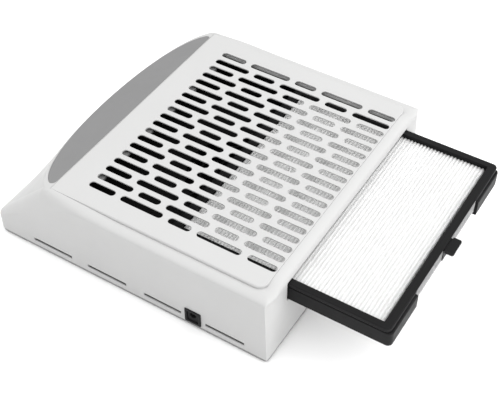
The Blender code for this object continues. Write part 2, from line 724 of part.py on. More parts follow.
def blade_cage(parent):
    """Floor ring, swept blades and top ring of the impeller, as one shell of quads."""
    sectors = 2 * BLADE_COUNT
    middle = (BLADE_INNER_RADIUS + IMPELLER_RADIUS) / 2
    radii = (CUP_RADIUS + 0.0008, BLADE_INNER_RADIUS, middle, IMPELLER_RADIUS)
    plate_top, ring_bottom = IMPELLER_FLOOR + IMPELLER_PLATE, IMPELLER_TOP - IMPELLER_PLATE
    heights = (IMPELLER_FLOOR, plate_top, ring_bottom, IMPELLER_TOP)
    bm = bmesh.new()
    grid = {}
    for ring, radius in enumerate(radii):
        share = max(radius - BLADE_INNER_RADIUS, 0) / (IMPELLER_RADIUS - BLADE_INNER_RADIUS)
        for sector in range(sectors):
            angle = 2 * math.pi * (sector + 0.25 * (sector % 2)) / sectors + BLADE_SWEEP * share**2
            for level, height in enumerate(heights):
                if ring or level < 2:
                    place = (radius * math.cos(angle), radius * math.sin(angle), height)
                    grid[ring, sector, level] = bm.verts.new(place)

    def wall(a, b):
        """A quad between two (ring, sector) corners at two levels, a pair of each."""
        bm.faces.new([grid[key] for key in (*a, *b)])

    for sector in range(sectors):
        after = (sector + 1) % sectors
        blade = sector % 2
        for ring in range(3):
            corners = ((ring, sector), (ring + 1, sector), (ring + 1, after), (ring, after))
            for level in range(4):
                ring_exists = ring or level < 2
                open_cell = blade and ring and level in (1, 2)
                if ring_exists and not open_cell:
                    bm.faces.new([grid[r, s, level] for r, s in corners])
            if blade and ring:
                for edge in (sector, after):
                    wall(((ring, edge, 1), (ring + 1, edge, 1)), ((ring + 1, edge, 2), (ring, edge, 2)))
        wall(((0, sector, 0), (0, after, 0)), ((0, after, 1), (0, sector, 1)))
        wall(((3, sector, 0), (3, after, 0)), ((3, after, 1), (3, sector, 1)))
        wall(((3, sector, 2), (3, after, 2)), ((3, after, 3), (3, sector, 3)))
        wall(((1, sector, 2), (1, after, 2)), ((1, after, 3), (1, sector, 3)))
        if blade:
            wall(((1, sector, 1), (1, after, 1)), ((1, after, 2), (1, sector, 2)))
            wall(((3, sector, 1), (3, after, 1)), ((3, after, 2), (3, sector, 2)))
    return add_mesh("impeller", bm, parent, "black_plastic", smooth=30)


def impeller(parent):
    """The blade cage with the hub that caps the rotor cup."""
    cage = blade_cage(parent)
    bore = SHAFT_RADIUS + GAP
    inner = CUP_RADIUS + GAP
    outer = inner + HUB_THICKNESS
    top = CUP_TOP + HUB_THICKNESS
    skirt = IMPELLER_FLOOR - 0.0004
    profile = [(bore, top), (0.0235, top), (outer, CUP_TOP - 0.0010), (outer, skirt), (inner, skirt)]
    profile += [(inner, CUP_TOP + GAP), (bore, CUP_TOP + GAP)]
    hub = turned("impeller_hub", profile, (0, 0), parent, None, 32)
    combine(cage, hub, "UNION")
    return cage


def rotor(parent):
    """Steel cup, magnet ring, shaft and the clip that keeps the impeller on, all about the fan's axis."""
    centre = (0, 0)
    inner = CUP_RADIUS - CUP_THICKNESS
    bore = SHAFT_RADIUS + SHAFT_CLEARANCE
    cup = [(bore, CUP_TOP), (CUP_RADIUS, CUP_TOP), (CUP_RADIUS, CUP_BOTTOM), (inner, CUP_BOTTOM)]
    cup += [(inner, CUP_TOP - CUP_THICKNESS), (bore, CUP_TOP - CUP_THICKNESS)]
    turned("rotor_cup", cup, centre, parent, "steel", 32)
    outer = inner - GAP
    magnet = [(0.0212, 0.0210), (outer, 0.0210), (outer, 0.0080), (0.0212, 0.0080)]
    turned("magnet_ring", magnet, centre, parent, "magnet", 32)
    shaft = [(0, 0.0290), (SHAFT_RADIUS - 0.0003, 0.0290), (SHAFT_RADIUS, 0.0285)]
    shaft += [(SHAFT_RADIUS, 0.0040), (0, 0.0040)]
    turned("shaft", shaft, centre, parent, "steel", 16)
    clip_bottom = CUP_TOP + HUB_THICKNESS + GAP
    clip_top = clip_bottom + 0.0010
    clip = [(bore, clip_top), (0.0040, clip_top), (0.0040, clip_bottom), (bore, clip_bottom)]
    turned("shaft_clip", clip, centre, parent, "steel", 16)


# ---------------------------------------------------------------- filter cassette


def cassette_outline(out):
    return rounded_rectangle(CASSETTE_IN, out, CASSETTE_HALF_WIDTH, 0.002, 0.004, 3)


def hem_spans():
    """The two stretches along the end wall where the medium's hem shows, as (low y, high y)."""
    return ((-CUTOUT_REACH, -HEM_NEAR), (HEM_NEAR, CUTOUT_REACH))


def filter_tray(parent):
    """Lower frame: its outer end wall cut away between the corners, bars under the medium."""
    opening = rectangle(WINDOW_FRONT, TRAY_WINDOW_BACK, WINDOW_HALF_WIDTH)
    outline = cassette_outline(TRAY_OUT)
    tray = plate("filter_tray", outline, [opening], CASSETTE_BOTTOM, TRAY_TOP, parent, "black_plastic")
    added = bmesh.new()
    for y in (-0.044, 0, 0.044):
        low = (WINDOW_FRONT - 0.0010, y - 0.0015, CASSETTE_BOTTOM)
        box_into(added, low, (TRAY_WINDOW_BACK + 0.0010, y + 0.0015, MEDIA_BOTTOM - GAP))
    combine(tray, add_mesh("tray_bars", added, parent), "UNION")
    beyond = TRAY_OUT + 0.001
    cut = bmesh.new()
    low = (CUTOUT_FRONT, -CUTOUT_REACH, CASSETTE_BOTTOM - 0.001)
    box_into(cut, low, (beyond, CUTOUT_REACH, CUTOUT_TOP))
    low = (CASSETTE_OUT, -CUTOUT_REACH, CASSETTE_BOTTOM)
    box_into(cut, low, (beyond, CUTOUT_REACH, TRAY_TOP + 0.001))
    for low_y, high_y in hem_spans():
        box_into(cut, (TRAY_WINDOW_BACK - 0.001, low_y, CUTOUT_TOP - GAP), (beyond, high_y, TRAY_TOP + 0.001))
    combine(tray, add_mesh("tray_end_cutter", cut, parent), "DIFFERENCE", crossing=True)
    return tray


def filter_rim(parent):
    """Upper frame with the pull tab; a thin lip of it covers each hem of the medium."""
    opening = rectangle(WINDOW_FRONT, RIM_WINDOW_BACK, WINDOW_HALF_WIDTH)
    outline = cassette_outline(CASSETTE_OUT)
    rim = plate("filter_rim", outline, [opening], RIM_BOTTOM, RIM_TOP, parent, "black_plastic")
    low = (CASSETTE_OUT - 0.002, -TAB_HALF_WIDTH, TAB_BOTTOM)
    combine(rim, box("pull_tab", low, (TAB_TIP, TAB_HALF_WIDTH, TAB_TOP), parent), "UNION")
    cut = bmesh.new()
    for low_y, high_y in hem_spans():
        low = (HEM_STEP - GAP, low_y, RIM_BOTTOM - 0.001)
        box_into(cut, low, (CASSETTE_OUT + 0.001, high_y, HEM_TOP + GAP))
    combine(rim, add_mesh("rim_end_cutter", cut, parent), "DIFFERENCE")
    return rim


def filter_media(parent):
    """Pleated paper: folds run across the cassette; its end hems show in the gaps of the end wall."""
    front, back = WINDOW_FRONT + GAP, TRAY_WINDOW_BACK - GAP
    folds = round((back - front) / PLEAT_PITCH)
    pitch = (back - front) / folds
    outline = [(front, MEDIA_BOTTOM)]
    for fold in range(folds):
        outline.append((front + fold * pitch, MEDIA_TOP - PLEAT_DEPTH))
        outline.append((front + (fold + 0.5) * pitch, MEDIA_TOP))
    outline += [(back, MEDIA_TOP - PLEAT_DEPTH), (back, MEDIA_BOTTOM)]
    points = [(x, 0, z) for x, z in outline]
    half_width = WINDOW_HALF_WIDTH - GAP
    media = prism("filter_media", points, (0, -half_width, 0), (0, half_width, 0), parent, "filter_paper")
    hems = bmesh.new()
    for low_y, high_y in hem_spans():
        low_y, high_y = low_y + GAP, high_y - GAP
        box_into(hems, (back - 0.004, low_y, CUTOUT_TOP), (HEM_OUT, high_y, TRAY_TOP))
        box_into(hems, (HEM_STEP, low_y, CUTOUT_TOP), (HEM_OUT, high_y, HEM_TOP))
    combine(media, add_mesh("media_hems", hems, parent), "UNION", crossing=True)
    return media


# ---------------------------------------------------------------- inlet, switch, board and leads


def jack_bezel(parent):
    """Square flange on the near side with a sleeve through the wall."""
    face = -CASE_WIDTH / 2 - GAP
    half = BEZEL_SIZE / 2
    sleeve = half - BEZEL_LIP - GAP
    low = (JACK_X - half, face - BEZEL_PROUD, JACK_Z - half)
    bezel = box("jack_bezel", low, (JACK_X + half, face, JACK_Z + half), parent, "black_plastic")
    low = (JACK_X - sleeve, face - BEZEL_PROUD / 2, JACK_Z - sleeve)
    high = (JACK_X + sleeve, face + 0.0035, JACK_Z + sleeve)
    combine(bezel, box("bezel_sleeve", low, high, parent), "UNION")
    hole = sleeve - BEZEL_WALL
    low = (JACK_X - hole, face - 0.002, JACK_Z - hole)
    combine(bezel, box("bezel_hole", low, (JACK_X + hole, face + 0.006, JACK_Z + hole), parent), "DIFFERENCE")
    return bezel


def dc_jack(parent):
    """Barrel power inlet: a block with a round socket and its centre pin."""
    half = BEZEL_SIZE / 2 - BEZEL_LIP - GAP - BEZEL_WALL - GAP
    face = -CASE_WIDTH / 2
    low = (JACK_X - half, face, JACK_Z - half)
    jack = box("dc_jack", low, (JACK_X + half, face + 0.0110, JACK_Z + half), parent, "black_plastic")
    mouth = [(0, 0.0015), (SOCKET_RADIUS, 0.0015)]
    floor = [(SOCKET_RADIUS, -SOCKET_DEPTH), (PIN_RADIUS, -SOCKET_DEPTH)]
    pin = [(PIN_RADIUS, -PIN_DROP), (0, -PIN_DROP)]
    cutter = turned("socket_cutter", mouth + floor + pin, (0, 0), parent, None, 20)
    cutter.location = (JACK_X, face, JACK_Z + SOCKET_RISE)
    cutter.rotation_euler = (math.radians(90), 0, 0)
    combine(jack, cutter, "DIFFERENCE")
    return jack


def switch_box(name, half_sizes, front, back, parent, look=None):
    """A box centred on the switch in x and z, from one y to another."""
    half_x, half_z = half_sizes
    low = (SWITCH_X - half_x, front, SWITCH_Z - half_z)
    return box(name, low, (SWITCH_X + half_x, back, SWITCH_Z + half_z), parent, look)


def switch_body(parent):
    """Rocker switch housing on the far side: flange, body through the wall, open well for the rocker."""
    face = CASE_WIDTH / 2 + GAP
    body = switch_box("switch_body", SWITCH_FLANGE, face, face + BEZEL_PROUD, parent, "black_plastic")
    block = switch_box("switch_block", SWITCH_BLOCK, face - 0.0150, face + 0.0004, parent)
    combine(body, block, "UNION")
    well = switch_box("switch_well", SWITCH_WELL, face - 0.0105, face + 0.003, parent)
    combine(body, well, "DIFFERENCE")
    return body


def power_rocker(parent):
    """The rocker, about its own upright axis, tipped to the off side at rest."""
    outline = [(-0.0080, 0.0032), (0, 0.0022), (0.0080, 0.0032), (0.0080, -0.0004), (0.0025, -0.0040)]
    outline += [(-0.0025, -0.0040), (-0.0080, -0.0004)]
    points = [(x, y, 0) for x, y in outline]
    rocker = prism("power_rocker", points, (0, 0, -0.0053), (0, 0, 0.0053), parent, "black_plastic")
    rocker.rotation_euler = (0, 0, -ROCKER_TILT)
    return rocker


def control_board(parent):
    """Circuit board with its capacitor, regulator and connector."""
    x, y = BOARD_CENTRE
    half_x, half_y = BOARD_SIZE[0] / 2, BOARD_SIZE[1] / 2
    outline = [(x + across, y + along) for across, along in rectangle_corners(half_x, half_y)]
    holes = [circle(centre, SCREW_HOLE, 10) for centre in BOARD_HOLES]
    board = plate("control_board", outline, holes, 0.0059, 0.0073, parent, "circuit_board")
    fitted = bmesh.new()
    cylinder_into(fitted, (x + 0.006, y + 0.005), 0.0040, 0.0068, 0.0190, 16)
    box_into(fitted, (x - 0.009, y + 0.003, 0.0068), (x - 0.001, y + 0.010, 0.0112))
    box_into(fitted, (x - 0.008, y - 0.011, 0.0068), (x + 0.004, y - 0.005, 0.0130))
    combine(board, add_mesh("board_components", fitted, parent), "UNION")
    return board


def lead(name, route, parent):
    """A two-core lead, held all the way inside the casing: a smooth curve read at even steps."""
    knots = [Vector(point) for point in (route[0], *route, route[-1])]
    points = []
    for p0, p1, p2, p3 in zip(knots, knots[1:], knots[2:], knots[3:]):
        for step in range(4):
            t = step / 4
            bend = (2 * p0 - 5 * p1 + 4 * p2 - p3) * t**2 + (3 * p1 - p0 - 3 * p2 + p3) * t**3
            points.append(p1 + ((p2 - p0) * t + bend) / 2)
    points.append(knots[-1])
    curve = bpy.data.curves.new(name, "CURVE")
    curve.dimensions = "3D"
    curve.bevel_depth = 0.0009
    curve.bevel_resolution = 1
    curve.use_fill_caps = True
    spline = curve.splines.new("POLY")
    spline.points.add(len(points) - 1)
    for place, point in zip(spline.points, points):
        place.co = (*point, 1)
    return add(name, curve, parent, "lead")


# ---------------------------------------------------------------- assembly


def clear_scene():
    for existing in list(bpy.data.objects):
        bpy.data.objects.remove(existing, do_unlink=True)


def build():
    clear_scene()
    origin = add_empty("casing_origin", (-HALF_LENGTH_OUT, 0, FOOT_HEIGHT))
    fan_axis = add_empty("fan_axis", (FAN_X, 0, 0), origin)
    cassette_slide = add_empty("cassette_slide", (0, 0, 0), origin)
    rocker_axis = add_empty("rocker_axis", (SWITCH_X, ROCKER_AXIS_Y, SWITCH_Z), origin)

    upper_casing(origin)
    deck_panel(origin)
    trim_panel(origin)
    base_plate(origin)
    for index, centre in enumerate(FEET, 1):
        foot(index, centre, origin)

    fan_deck(origin)
    fan_guard(origin)
    guide_rail("guide_rail_near", -1, origin)
    guide_rail("guide_rail_far", 1, origin)

    motor_mount(origin)
    motor_stator(origin)
    bearing("bearing_lower", 0.0060, origin)
    bearing("bearing_upper", 0.0180, origin)
    impeller(fan_axis)
    rotor(fan_axis)

    filter_tray(cassette_slide)
    filter_rim(cassette_slide)
    filter_media(cassette_slide)

    jack_bezel(origin)
    dc_jack(origin)
    switch_body(origin)
    power_rocker(rocker_axis)
    control_board(origin)
    board_x, board_y = BOARD_CENTRE
    jack_route = [(JACK_X, -0.1135, 0.0105), (0.1950, -0.1110, 0.0105), (0.2010, -0.1085, 0.0100)]
    lead("jack_lead", jack_route, origin)
    motor_route = [(board_x - 0.0232, board_y + 0.008, 0.0045), (0.182, -0.075, 0.0037)]
    motor_route += [(0.172, -0.050, 0.0037), (0.164, -0.0248, 0.0037)]
    lead("motor_lead", motor_route, origin)
    switch_route = [(board_x + 0.0232, board_y + 0.006, 0.0045), (0.240, -0.070, 0.0037), (0.236, 0, 0.0037)]
    switch_route += [(0.234, 0.070, 0.0040), (0.226, 0.098, 0.0120), (SWITCH_X, 0.1095, 0.0280)]
    lead("switch_lead", switch_route, origin)

    for index, centre in enumerate(CASE_BOSSES, 1):
        screw(f"case_screw_{index}", centre, 0.0007, 0.0120, origin)
    for index, centre in enumerate(POSTS, 1):
        screw(f"fan_deck_screw_{index}", centre, FAN_DECK_TOP + GAP, FAN_DECK_TOP - 0.0085, origin)
    for index in range(3):
        screw(f"motor_screw_{index + 1}", motor_screw_place(index), SEAM_HEIGHT + 0.0023, 0.0014, origin)
    for index, centre in enumerate(BOARD_HOLES, 1):
        screw(f"board_screw_{index}", centre, 0.0076, 0.0016, origin)


build()
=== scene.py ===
"""Looks of the nail dust collector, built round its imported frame.

Lengths are in metres. Shapes are drawn in the casing's own frame, x back from the front lip, y from the
centre plane and z from the base plate's underside, and moved by ORIGIN into the row's frame.
"""

import json
import math

import bmesh
import bpy
from mathutils import Matrix, Vector, geometry, noise


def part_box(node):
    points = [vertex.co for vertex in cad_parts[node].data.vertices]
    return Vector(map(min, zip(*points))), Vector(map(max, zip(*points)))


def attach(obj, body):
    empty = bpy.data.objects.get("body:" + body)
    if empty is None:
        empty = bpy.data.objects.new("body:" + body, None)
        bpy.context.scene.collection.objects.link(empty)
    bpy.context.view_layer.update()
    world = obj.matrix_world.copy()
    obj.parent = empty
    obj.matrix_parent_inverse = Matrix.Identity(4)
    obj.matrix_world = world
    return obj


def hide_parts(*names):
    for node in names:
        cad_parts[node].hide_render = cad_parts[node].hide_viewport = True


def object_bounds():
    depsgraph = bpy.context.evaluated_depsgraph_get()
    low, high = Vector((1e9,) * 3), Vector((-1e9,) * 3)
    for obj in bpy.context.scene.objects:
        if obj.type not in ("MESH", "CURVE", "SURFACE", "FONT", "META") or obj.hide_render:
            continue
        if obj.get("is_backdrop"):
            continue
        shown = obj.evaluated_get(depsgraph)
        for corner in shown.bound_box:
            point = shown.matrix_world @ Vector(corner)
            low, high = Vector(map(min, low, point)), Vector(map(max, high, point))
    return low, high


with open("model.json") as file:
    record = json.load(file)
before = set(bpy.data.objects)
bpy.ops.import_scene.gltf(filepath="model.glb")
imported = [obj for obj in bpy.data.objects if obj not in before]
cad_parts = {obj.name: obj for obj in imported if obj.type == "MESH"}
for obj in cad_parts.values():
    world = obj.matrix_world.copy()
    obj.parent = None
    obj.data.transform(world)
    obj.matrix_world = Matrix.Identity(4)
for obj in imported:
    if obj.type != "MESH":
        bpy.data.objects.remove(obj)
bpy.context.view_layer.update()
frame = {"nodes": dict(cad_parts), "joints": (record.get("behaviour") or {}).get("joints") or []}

ORIGIN = Vector((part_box("upper_casing")[0][0], 0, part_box("base_plate")[0][2]))


def box_of(node):
    """The lowest and highest corner of a CAD node, in the casing's own frame."""
    low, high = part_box(node)
    return Vector(low) - ORIGIN, Vector(high) - ORIGIN


# Casing, from the CAD's boxes and its driving dimensions
CASING_LOW, CASING_HIGH = box_of("upper_casing")
CASE_LENGTH = CASING_HIGH.x
CASE_HALF = CASING_HIGH.y
DECK = CASING_HIGH.z
SEAM = CASING_LOW.z
SEAT = DECK - 0.0025
WALL = 0.0024
SEAM_GAP = 0.0001  # visible joint line between two mouldings
FRONT_CORNER = 0.006
LIP = 0.0187
CHORD_X = 0.058
FACET_TILT = math.radians(15)
RIDGE_HALF = 0.118
RIDGE_DEPTH = 0.0343
SHOULDER = 0.116
SHOULDER_WIDTH = CASE_HALF - SHOULDER
BACK_SHOULDER = CASE_LENGTH - 0.009
BACK_DROP = 0.0020
STRIP_FRONT = 0.25056  # the strip behind the deck panel stands nearly flush with it
STRIP_RISE = DECK - 0.0002 - SEAT
SIDE_TOP = 0.0638
SIDE_FOOT = 0.0186
SIDE_SLOPE = 0.58
SIDE_BEND = 0.003

# Deck panel
PANEL_BACK = box_of("deck_grille")[1].x
SLOT_ROWS = 19
ROW_PITCH = 0.01056
SLOT_WIDTH = 0.0060
HALF_PERIOD = 0.0351
LONG_SLOT = 0.0387
SHORT_SLOT = 0.0203
PATTERN_CENTRE = 0.16465
PATTERN_FRONT = 0.0803
PATTERN_BACK = 0.2493
PANEL_CORNER = 0.008
PANEL_STEP = 0.0016  # radius along the panel's raised edge
STEP_FADE = 0.075  # length over which the panel's step grows from nothing at the front
SLOT_EDGE = 0.00025
SLOT_HOLD = 0.0002  # flat margin kept round each slot
OPENING_FRONT = 0.068
OPENING_BACK = 0.248
OPENING_HALF = 0.0982
FIELD_UNDERSIDE = 0.0690
FIELD_FRONT = 0.0700
FIELD_BACK = 0.2497
FIELD_HALF = 0.1100
LUG_REACH = 0.0045
LUG_HALF = 0.0042
LUG_BOTTOM = 0.0647
LUG_TOP = SEAT - 0.0005

# Trim panel
TRIM_HALF = 0.112
TRIM_DEPTH = 0.034
TRIM_TIP = 0.0038
TRIM_TIP_TURN = math.radians(80)
TRIM_THICKNESS = 0.0012

# Low details on the sides
SLIT_SPANS = ((0.038, 0.077), (0.093, 0.131), (0.148, 0.183), (0.205, 0.240))
SLIT_LOW = 0.0070
SLIT_HIGH = 0.0102
SLIT_LIP = 0.0011  # the wall is thinned to this round each slit
BEZEL_LOW, BEZEL_HIGH = box_of("jack_bezel")
JACK_LOW, JACK_HIGH = box_of("dc_jack")
SOCKET_RISE = 0.0016  # the socket's middle sits this far above the inlet's
SOCKET_RADIUS = 0.0028
SOCKET_DEPTH = 0.0090
PIN_RADIUS = 0.0010
PIN_DROP = 0.0020  # how far the pin's tip lies behind the inlet's face
FLANGE_LAP = 0.0008  # how far the bezel's and the switch's flanges cover the wall
SWITCH_LOW, SWITCH_HIGH = box_of("switch_body")

# Cassette
TRAY_LOW, TRAY_HIGH = box_of("filter_tray")
RIM_LOW, RIM_HIGH = box_of("filter_rim")
MEDIA_BOTTOM = box_of("filter_media")[0].z
CASSETTE_OUT = 0.3410
TRAY_OUT = TRAY_HIGH.x
WINDOW_HALF = 0.0908
WINDOW_FRONT = 0.1630
RIM_WINDOW_BACK = 0.3340
TRAY_WINDOW_BACK = 0.3328
MEDIA_GAP = 0.0003
PLEAT_PITCH = 0.00298
PLEAT_DEPTH = 0.0012
PLEAT_TOP = 0.0610
CUTOUT_FRONT = 0.3352
CUTOUT_REACH = 0.054
CUTOUT_TOP = 0.0490
HEM_NEAR = 0.0066
HEM_STEP = 0.3368
HEM_OUT = 0.3405
HEM_TOP = 0.0628
TAB_HALF = 0.0085
TAB_LOW = 0.0600
TAB_HIGH = 0.0620


# ---------------------------------------------------------------- materials


WHITE = (0.45, 0.45, 0.448)
WORN_BLACK = (0.02, 0.02, 0.021)


def node(tree, kind, settings=None, **inputs):
    """A shader node; each input is a value or another node's socket, with _ for a space in its name."""
    made = tree.nodes.new("ShaderNode" + kind)
    for name, value in (settings or {}).items():
        setattr(made, name, value)
    for name, value in inputs.items():
        key = int(name[1:]) if name[1:].isdigit() else name.replace("_", " ")
        socket = made.inputs[key]
        if isinstance(value, bpy.types.NodeSocket):
            tree.links.new(value, socket)
        else:
            socket.default_value = value
    return made


def start_material(name, roughness, metallic=0.0):
    """(material, node tree, Principled shader, object coordinates)."""
    made = bpy.data.materials.new(name)
    made.use_nodes = True
    tree = made.node_tree
    shader = tree.nodes["Principled BSDF"]
    shader.inputs["Roughness"].default_value = roughness
    shader.inputs["Metallic"].default_value = metallic
    coords = node(tree, "TexCoord").outputs["Object"]
    return made, tree, shader, coords


def spread(tree, value, low, high, start=0.3, end=0.7):
    """Maps a noise value, mostly between start and end, to low..high."""
    settings = {"clamp": True}
    inputs = {"Value": value, "From_Min": start, "From_Max": end, "To_Min": low, "To_Max": high}
    return node(tree, "MapRange", settings, **inputs).outputs["Result"]


def noise_of(tree, coords, size, detail=2.0, stretch=(1, 1, 1)):
    """Noise whose blotches are about that size."""
    mapped = node(tree, "Mapping", None, Vector=coords, Scale=stretch).outputs["Vector"]
    return node(tree, "TexNoise", None, Vector=mapped, Scale=1 / size, Detail=detail).outputs["Fac"]


def tint(tree, colour, amount):
    """The colour, darkened where amount is under 1."""
    settings = {"data_type": "RGBA", "blend_type": "MULTIPLY"}
    mixed = node(tree, "Mix", settings, _0=1.0, _6=(*colour, 1), _7=amount)
    return mixed.outputs[2]


def worn_edges(tree, colour, worn, start, end):
    """Mixes towards the worn colour on outer edges."""
    pointiness = node(tree, "NewGeometry").outputs["Pointiness"]
    share = spread(tree, pointiness, 0.0, 1.0, start, end)
    settings = {"data_type": "RGBA"}
    return node(tree, "Mix", settings, _0=share, _6=colour, _7=(*worn, 1)).outputs[2]


def plastic(name, colour, roughness, grain=0.0006, relief=0.00002, tone=0.04, worn=None, sheen=0.5,
            painted_shade_below=None):
    """Moulded plastic: spark-eroded texture, slight clouding of the colour, uneven gloss, worn edges.

    sheen: strength of the surface's reflection, 0.5 for a plain plastic.
    The last argument, a height and a share: below that height only this share of the colour is left, painted
    shade for surfaces that sit down in slots.
    """
    made, tree, shader, coords = start_material(name, roughness)
    shader.inputs["Specular IOR Level"].default_value = sheen
    cloud = spread(tree, noise_of(tree, coords, 0.045, 3.0), 1 - tone, 1.0)
    base = tint(tree, colour, cloud)
    # Painted shade: below the given height the colour is darkened, as if in the shade of the slots above.
    if painted_shade_below:
        height = node(tree, "SeparateXYZ", None, Vector=coords).outputs["Z"]
        painted_shade_share = spread(tree, height, painted_shade_below[1], 1.0, painted_shade_below[0] - 0.0002, painted_shade_below[0])
        settings = {"data_type": "RGBA", "blend_type": "MULTIPLY"}
        base = node(tree, "Mix", settings, _0=1.0, _6=base, _7=painted_shade_share).outputs[2]
    if worn:
        base = worn_edges(tree, base, worn, 0.52, 0.60)
    tree.links.new(base, shader.inputs["Base Color"])
    patches = noise_of(tree, coords, 0.012, 4.0)
    gloss = spread(tree, patches, roughness - 0.05, roughness + 0.06)
    tree.links.new(gloss, shader.inputs["Roughness"])
    texture = noise_of(tree, coords, grain, 2.0)
    bump = node(tree, "Bump", None, Height=texture, Strength=0.5, Distance=relief)
    tree.links.new(bump.outputs["Normal"], shader.inputs["Normal"])
    return made


def paper(name, colour, hem_colour, hem_start):
    """Non-woven filter paper: matted fibres and faint dust, and a darker hem beyond hem_start in x."""
    made, tree, shader, coords = start_material(name, 0.92)
    fibres = noise_of(tree, coords, 0.0012, 6.0, (1, 0.35, 1))
    clouds = noise_of(tree, coords, 0.03, 3.0)
    shade = node(tree, "Math", {"operation": "MULTIPLY"}, _0=spread(tree, fibres, 0.93, 1.0))
    tree.links.new(spread(tree, clouds, 0.96, 1.0), shade.inputs[1])
    along = node(tree, "SeparateXYZ", None, Vector=coords).outputs["X"]
    hem = spread(tree, along, 0.0, 1.0, hem_start - 0.0002, hem_start)
    sheets = node(tree, "Mix", {"data_type": "RGBA"}, _0=hem, _6=(*colour, 1), _7=(*hem_colour, 1)).outputs[2]
    settings = {"data_type": "RGBA", "blend_type": "MULTIPLY"}
    mixed = node(tree, "Mix", settings, _0=1.0, _6=sheets, _7=shade.outputs[0])
    tree.links.new(mixed.outputs[2], shader.inputs["Base Color"])
    bump = node(tree, "Bump", None, Height=fibres, Strength=0.6, Distance=0.00012)
    tree.links.new(bump.outputs["Normal"], shader.inputs["Normal"])
    shader.inputs["Subsurface Weight"].default_value = 1.0
    shader.inputs["Subsurface Scale"].default_value = 0.014
    shader.inputs["Subsurface Radius"].default_value = (1.0, 1.0, 1.0)
    shader.inputs["Specular IOR Level"].default_value = 0.1
    return made


def metal(name, colour, roughness, stretch=(1, 1, 1), size=0.0004):
    """Machined metal: fine stretched marks in its gloss, darker patches."""
    made, tree, shader, coords = start_material(name, roughness, 1.0)
    marks = noise_of(tree, coords, size, 3.0, stretch)
    patches = noise_of(tree, coords, 0.006, 3.0)
    tree.links.new(tint(tree, colour, spread(tree, patches, 0.82, 1.0)), shader.inputs["Base Color"])
    tree.links.new(spread(tree, marks, roughness * 0.7, roughness * 1.4), shader.inputs["Roughness"])
    bump = node(tree, "Bump", None, Height=marks, Strength=0.4, Distance=0.00001)
    tree.links.new(bump.outputs["Normal"], shader.inputs["Normal"])
    return made


def banded(name, colour, roughness, metallic, pitch, along):
    """Close parallel bands, such as a winding's turns or a board's traces."""
    made, tree, shader, coords = start_material(name, roughness, metallic)
    settings = {"wave_type": "BANDS", "bands_direction": along}
    # A wave texture's band is 2 pi / 20 long at scale 1.
    waves = node(tree, "TexWave", settings, Vector=coords, Scale=0.314 / pitch, Distortion=0.4)
    shade = waves.outputs["Fac"]
    tree.links.new(tint(tree, colour, spread(tree, shade, 0.55, 1.0, 0.0, 1.0)), shader.inputs["Base Color"])
    bump = node(tree, "Bump", None, Height=shade, Strength=0.7, Distance=pitch * 0.2)
    tree.links.new(bump.outputs["Normal"], shader.inputs["Normal"])
    return made


def floor_material():
    made, tree, shader, coords = start_material("pale_floor", 0.9)
    cloud = spread(tree, noise_of(tree, coords, 0.6, 2.0), 0.985, 1.0)
    tree.links.new(tint(tree, (0.95, 0.95, 0.95), cloud), shader.inputs["Base Color"])
    shader.inputs["Specular IOR Level"].default_value = 0.0
    return made


def make_materials():
    return {
        "white_plastic": plastic("white_plastic_skin", WHITE, 0.50, tone=0.02, sheen=0.3),
        # The deck panel's white plastic, with painted shade on its lugs below the deck, seen down the slots.
        "grille_painted_shade": plastic("grille_painted_shade_skin", WHITE, 0.50, tone=0.02, sheen=0.3,
                                  painted_shade_below=(ORIGIN.z + LUG_TOP + 0.0003, 0.3)),
        "grey_trim": plastic("grey_trim_skin", (0.185, 0.185, 0.186), 0.50, 0.0004,
                             worn=(0.24, 0.24, 0.24), sheen=0.3),
        # Painted shade: the base plate, a real inset moulding, is coloured darker grey to show the shadow gap
        # along the casing's bottom edge.
        "base_plastic": plastic("base_grey_painted_shade_skin", (0.22, 0.22, 0.22), 0.60, 0.0008, 0.00004, sheen=0.3),
        "black_plastic": plastic("black_plastic_skin", (0.008, 0.008, 0.0083), 0.46,
                                 worn=WORN_BLACK, sheen=0.08),
        "inlet_plastic": plastic("inlet_plastic_skin", (0.014, 0.014, 0.0145), 0.50,
                                 worn=WORN_BLACK, sheen=0.08),
        "inner_plastic": plastic("inner_plastic_skin", (0.003, 0.003, 0.003), 0.65, 0.0008, sheen=0.1),
        "filter_paper": paper("filter_paper_skin", (0.635, 0.635, 0.632), (0.19, 0.19, 0.19),
                              ORIGIN.x + CUTOUT_FRONT - 0.001),
        "steel": metal("steel_skin", (0.60, 0.60, 0.61), 0.30),
        "magnet": plastic("magnet_skin", (0.05, 0.05, 0.055), 0.55, 0.0003),
        "aluminium": metal("aluminium_skin", (0.78, 0.78, 0.79), 0.34, (1, 1, 6), 0.0005),
        "copper_winding": banded("winding_skin", (0.52, 0.20, 0.08), 0.38, 0.8, 0.0005, "Z"),
        "circuit_board": banded("board_skin", (0.02, 0.16, 0.06), 0.42, 0.0, 0.0012, "X"),
        "rubber": plastic("rubber_skin", (0.028, 0.028, 0.028), 0.82, 0.0005, 0.00005),
        "lead": plastic("lead_skin", (0.035, 0.035, 0.038), 0.55, 0.0005),
    }


MATERIALS = make_materials()


# ---------------------------------------------------------------- mesh helpers


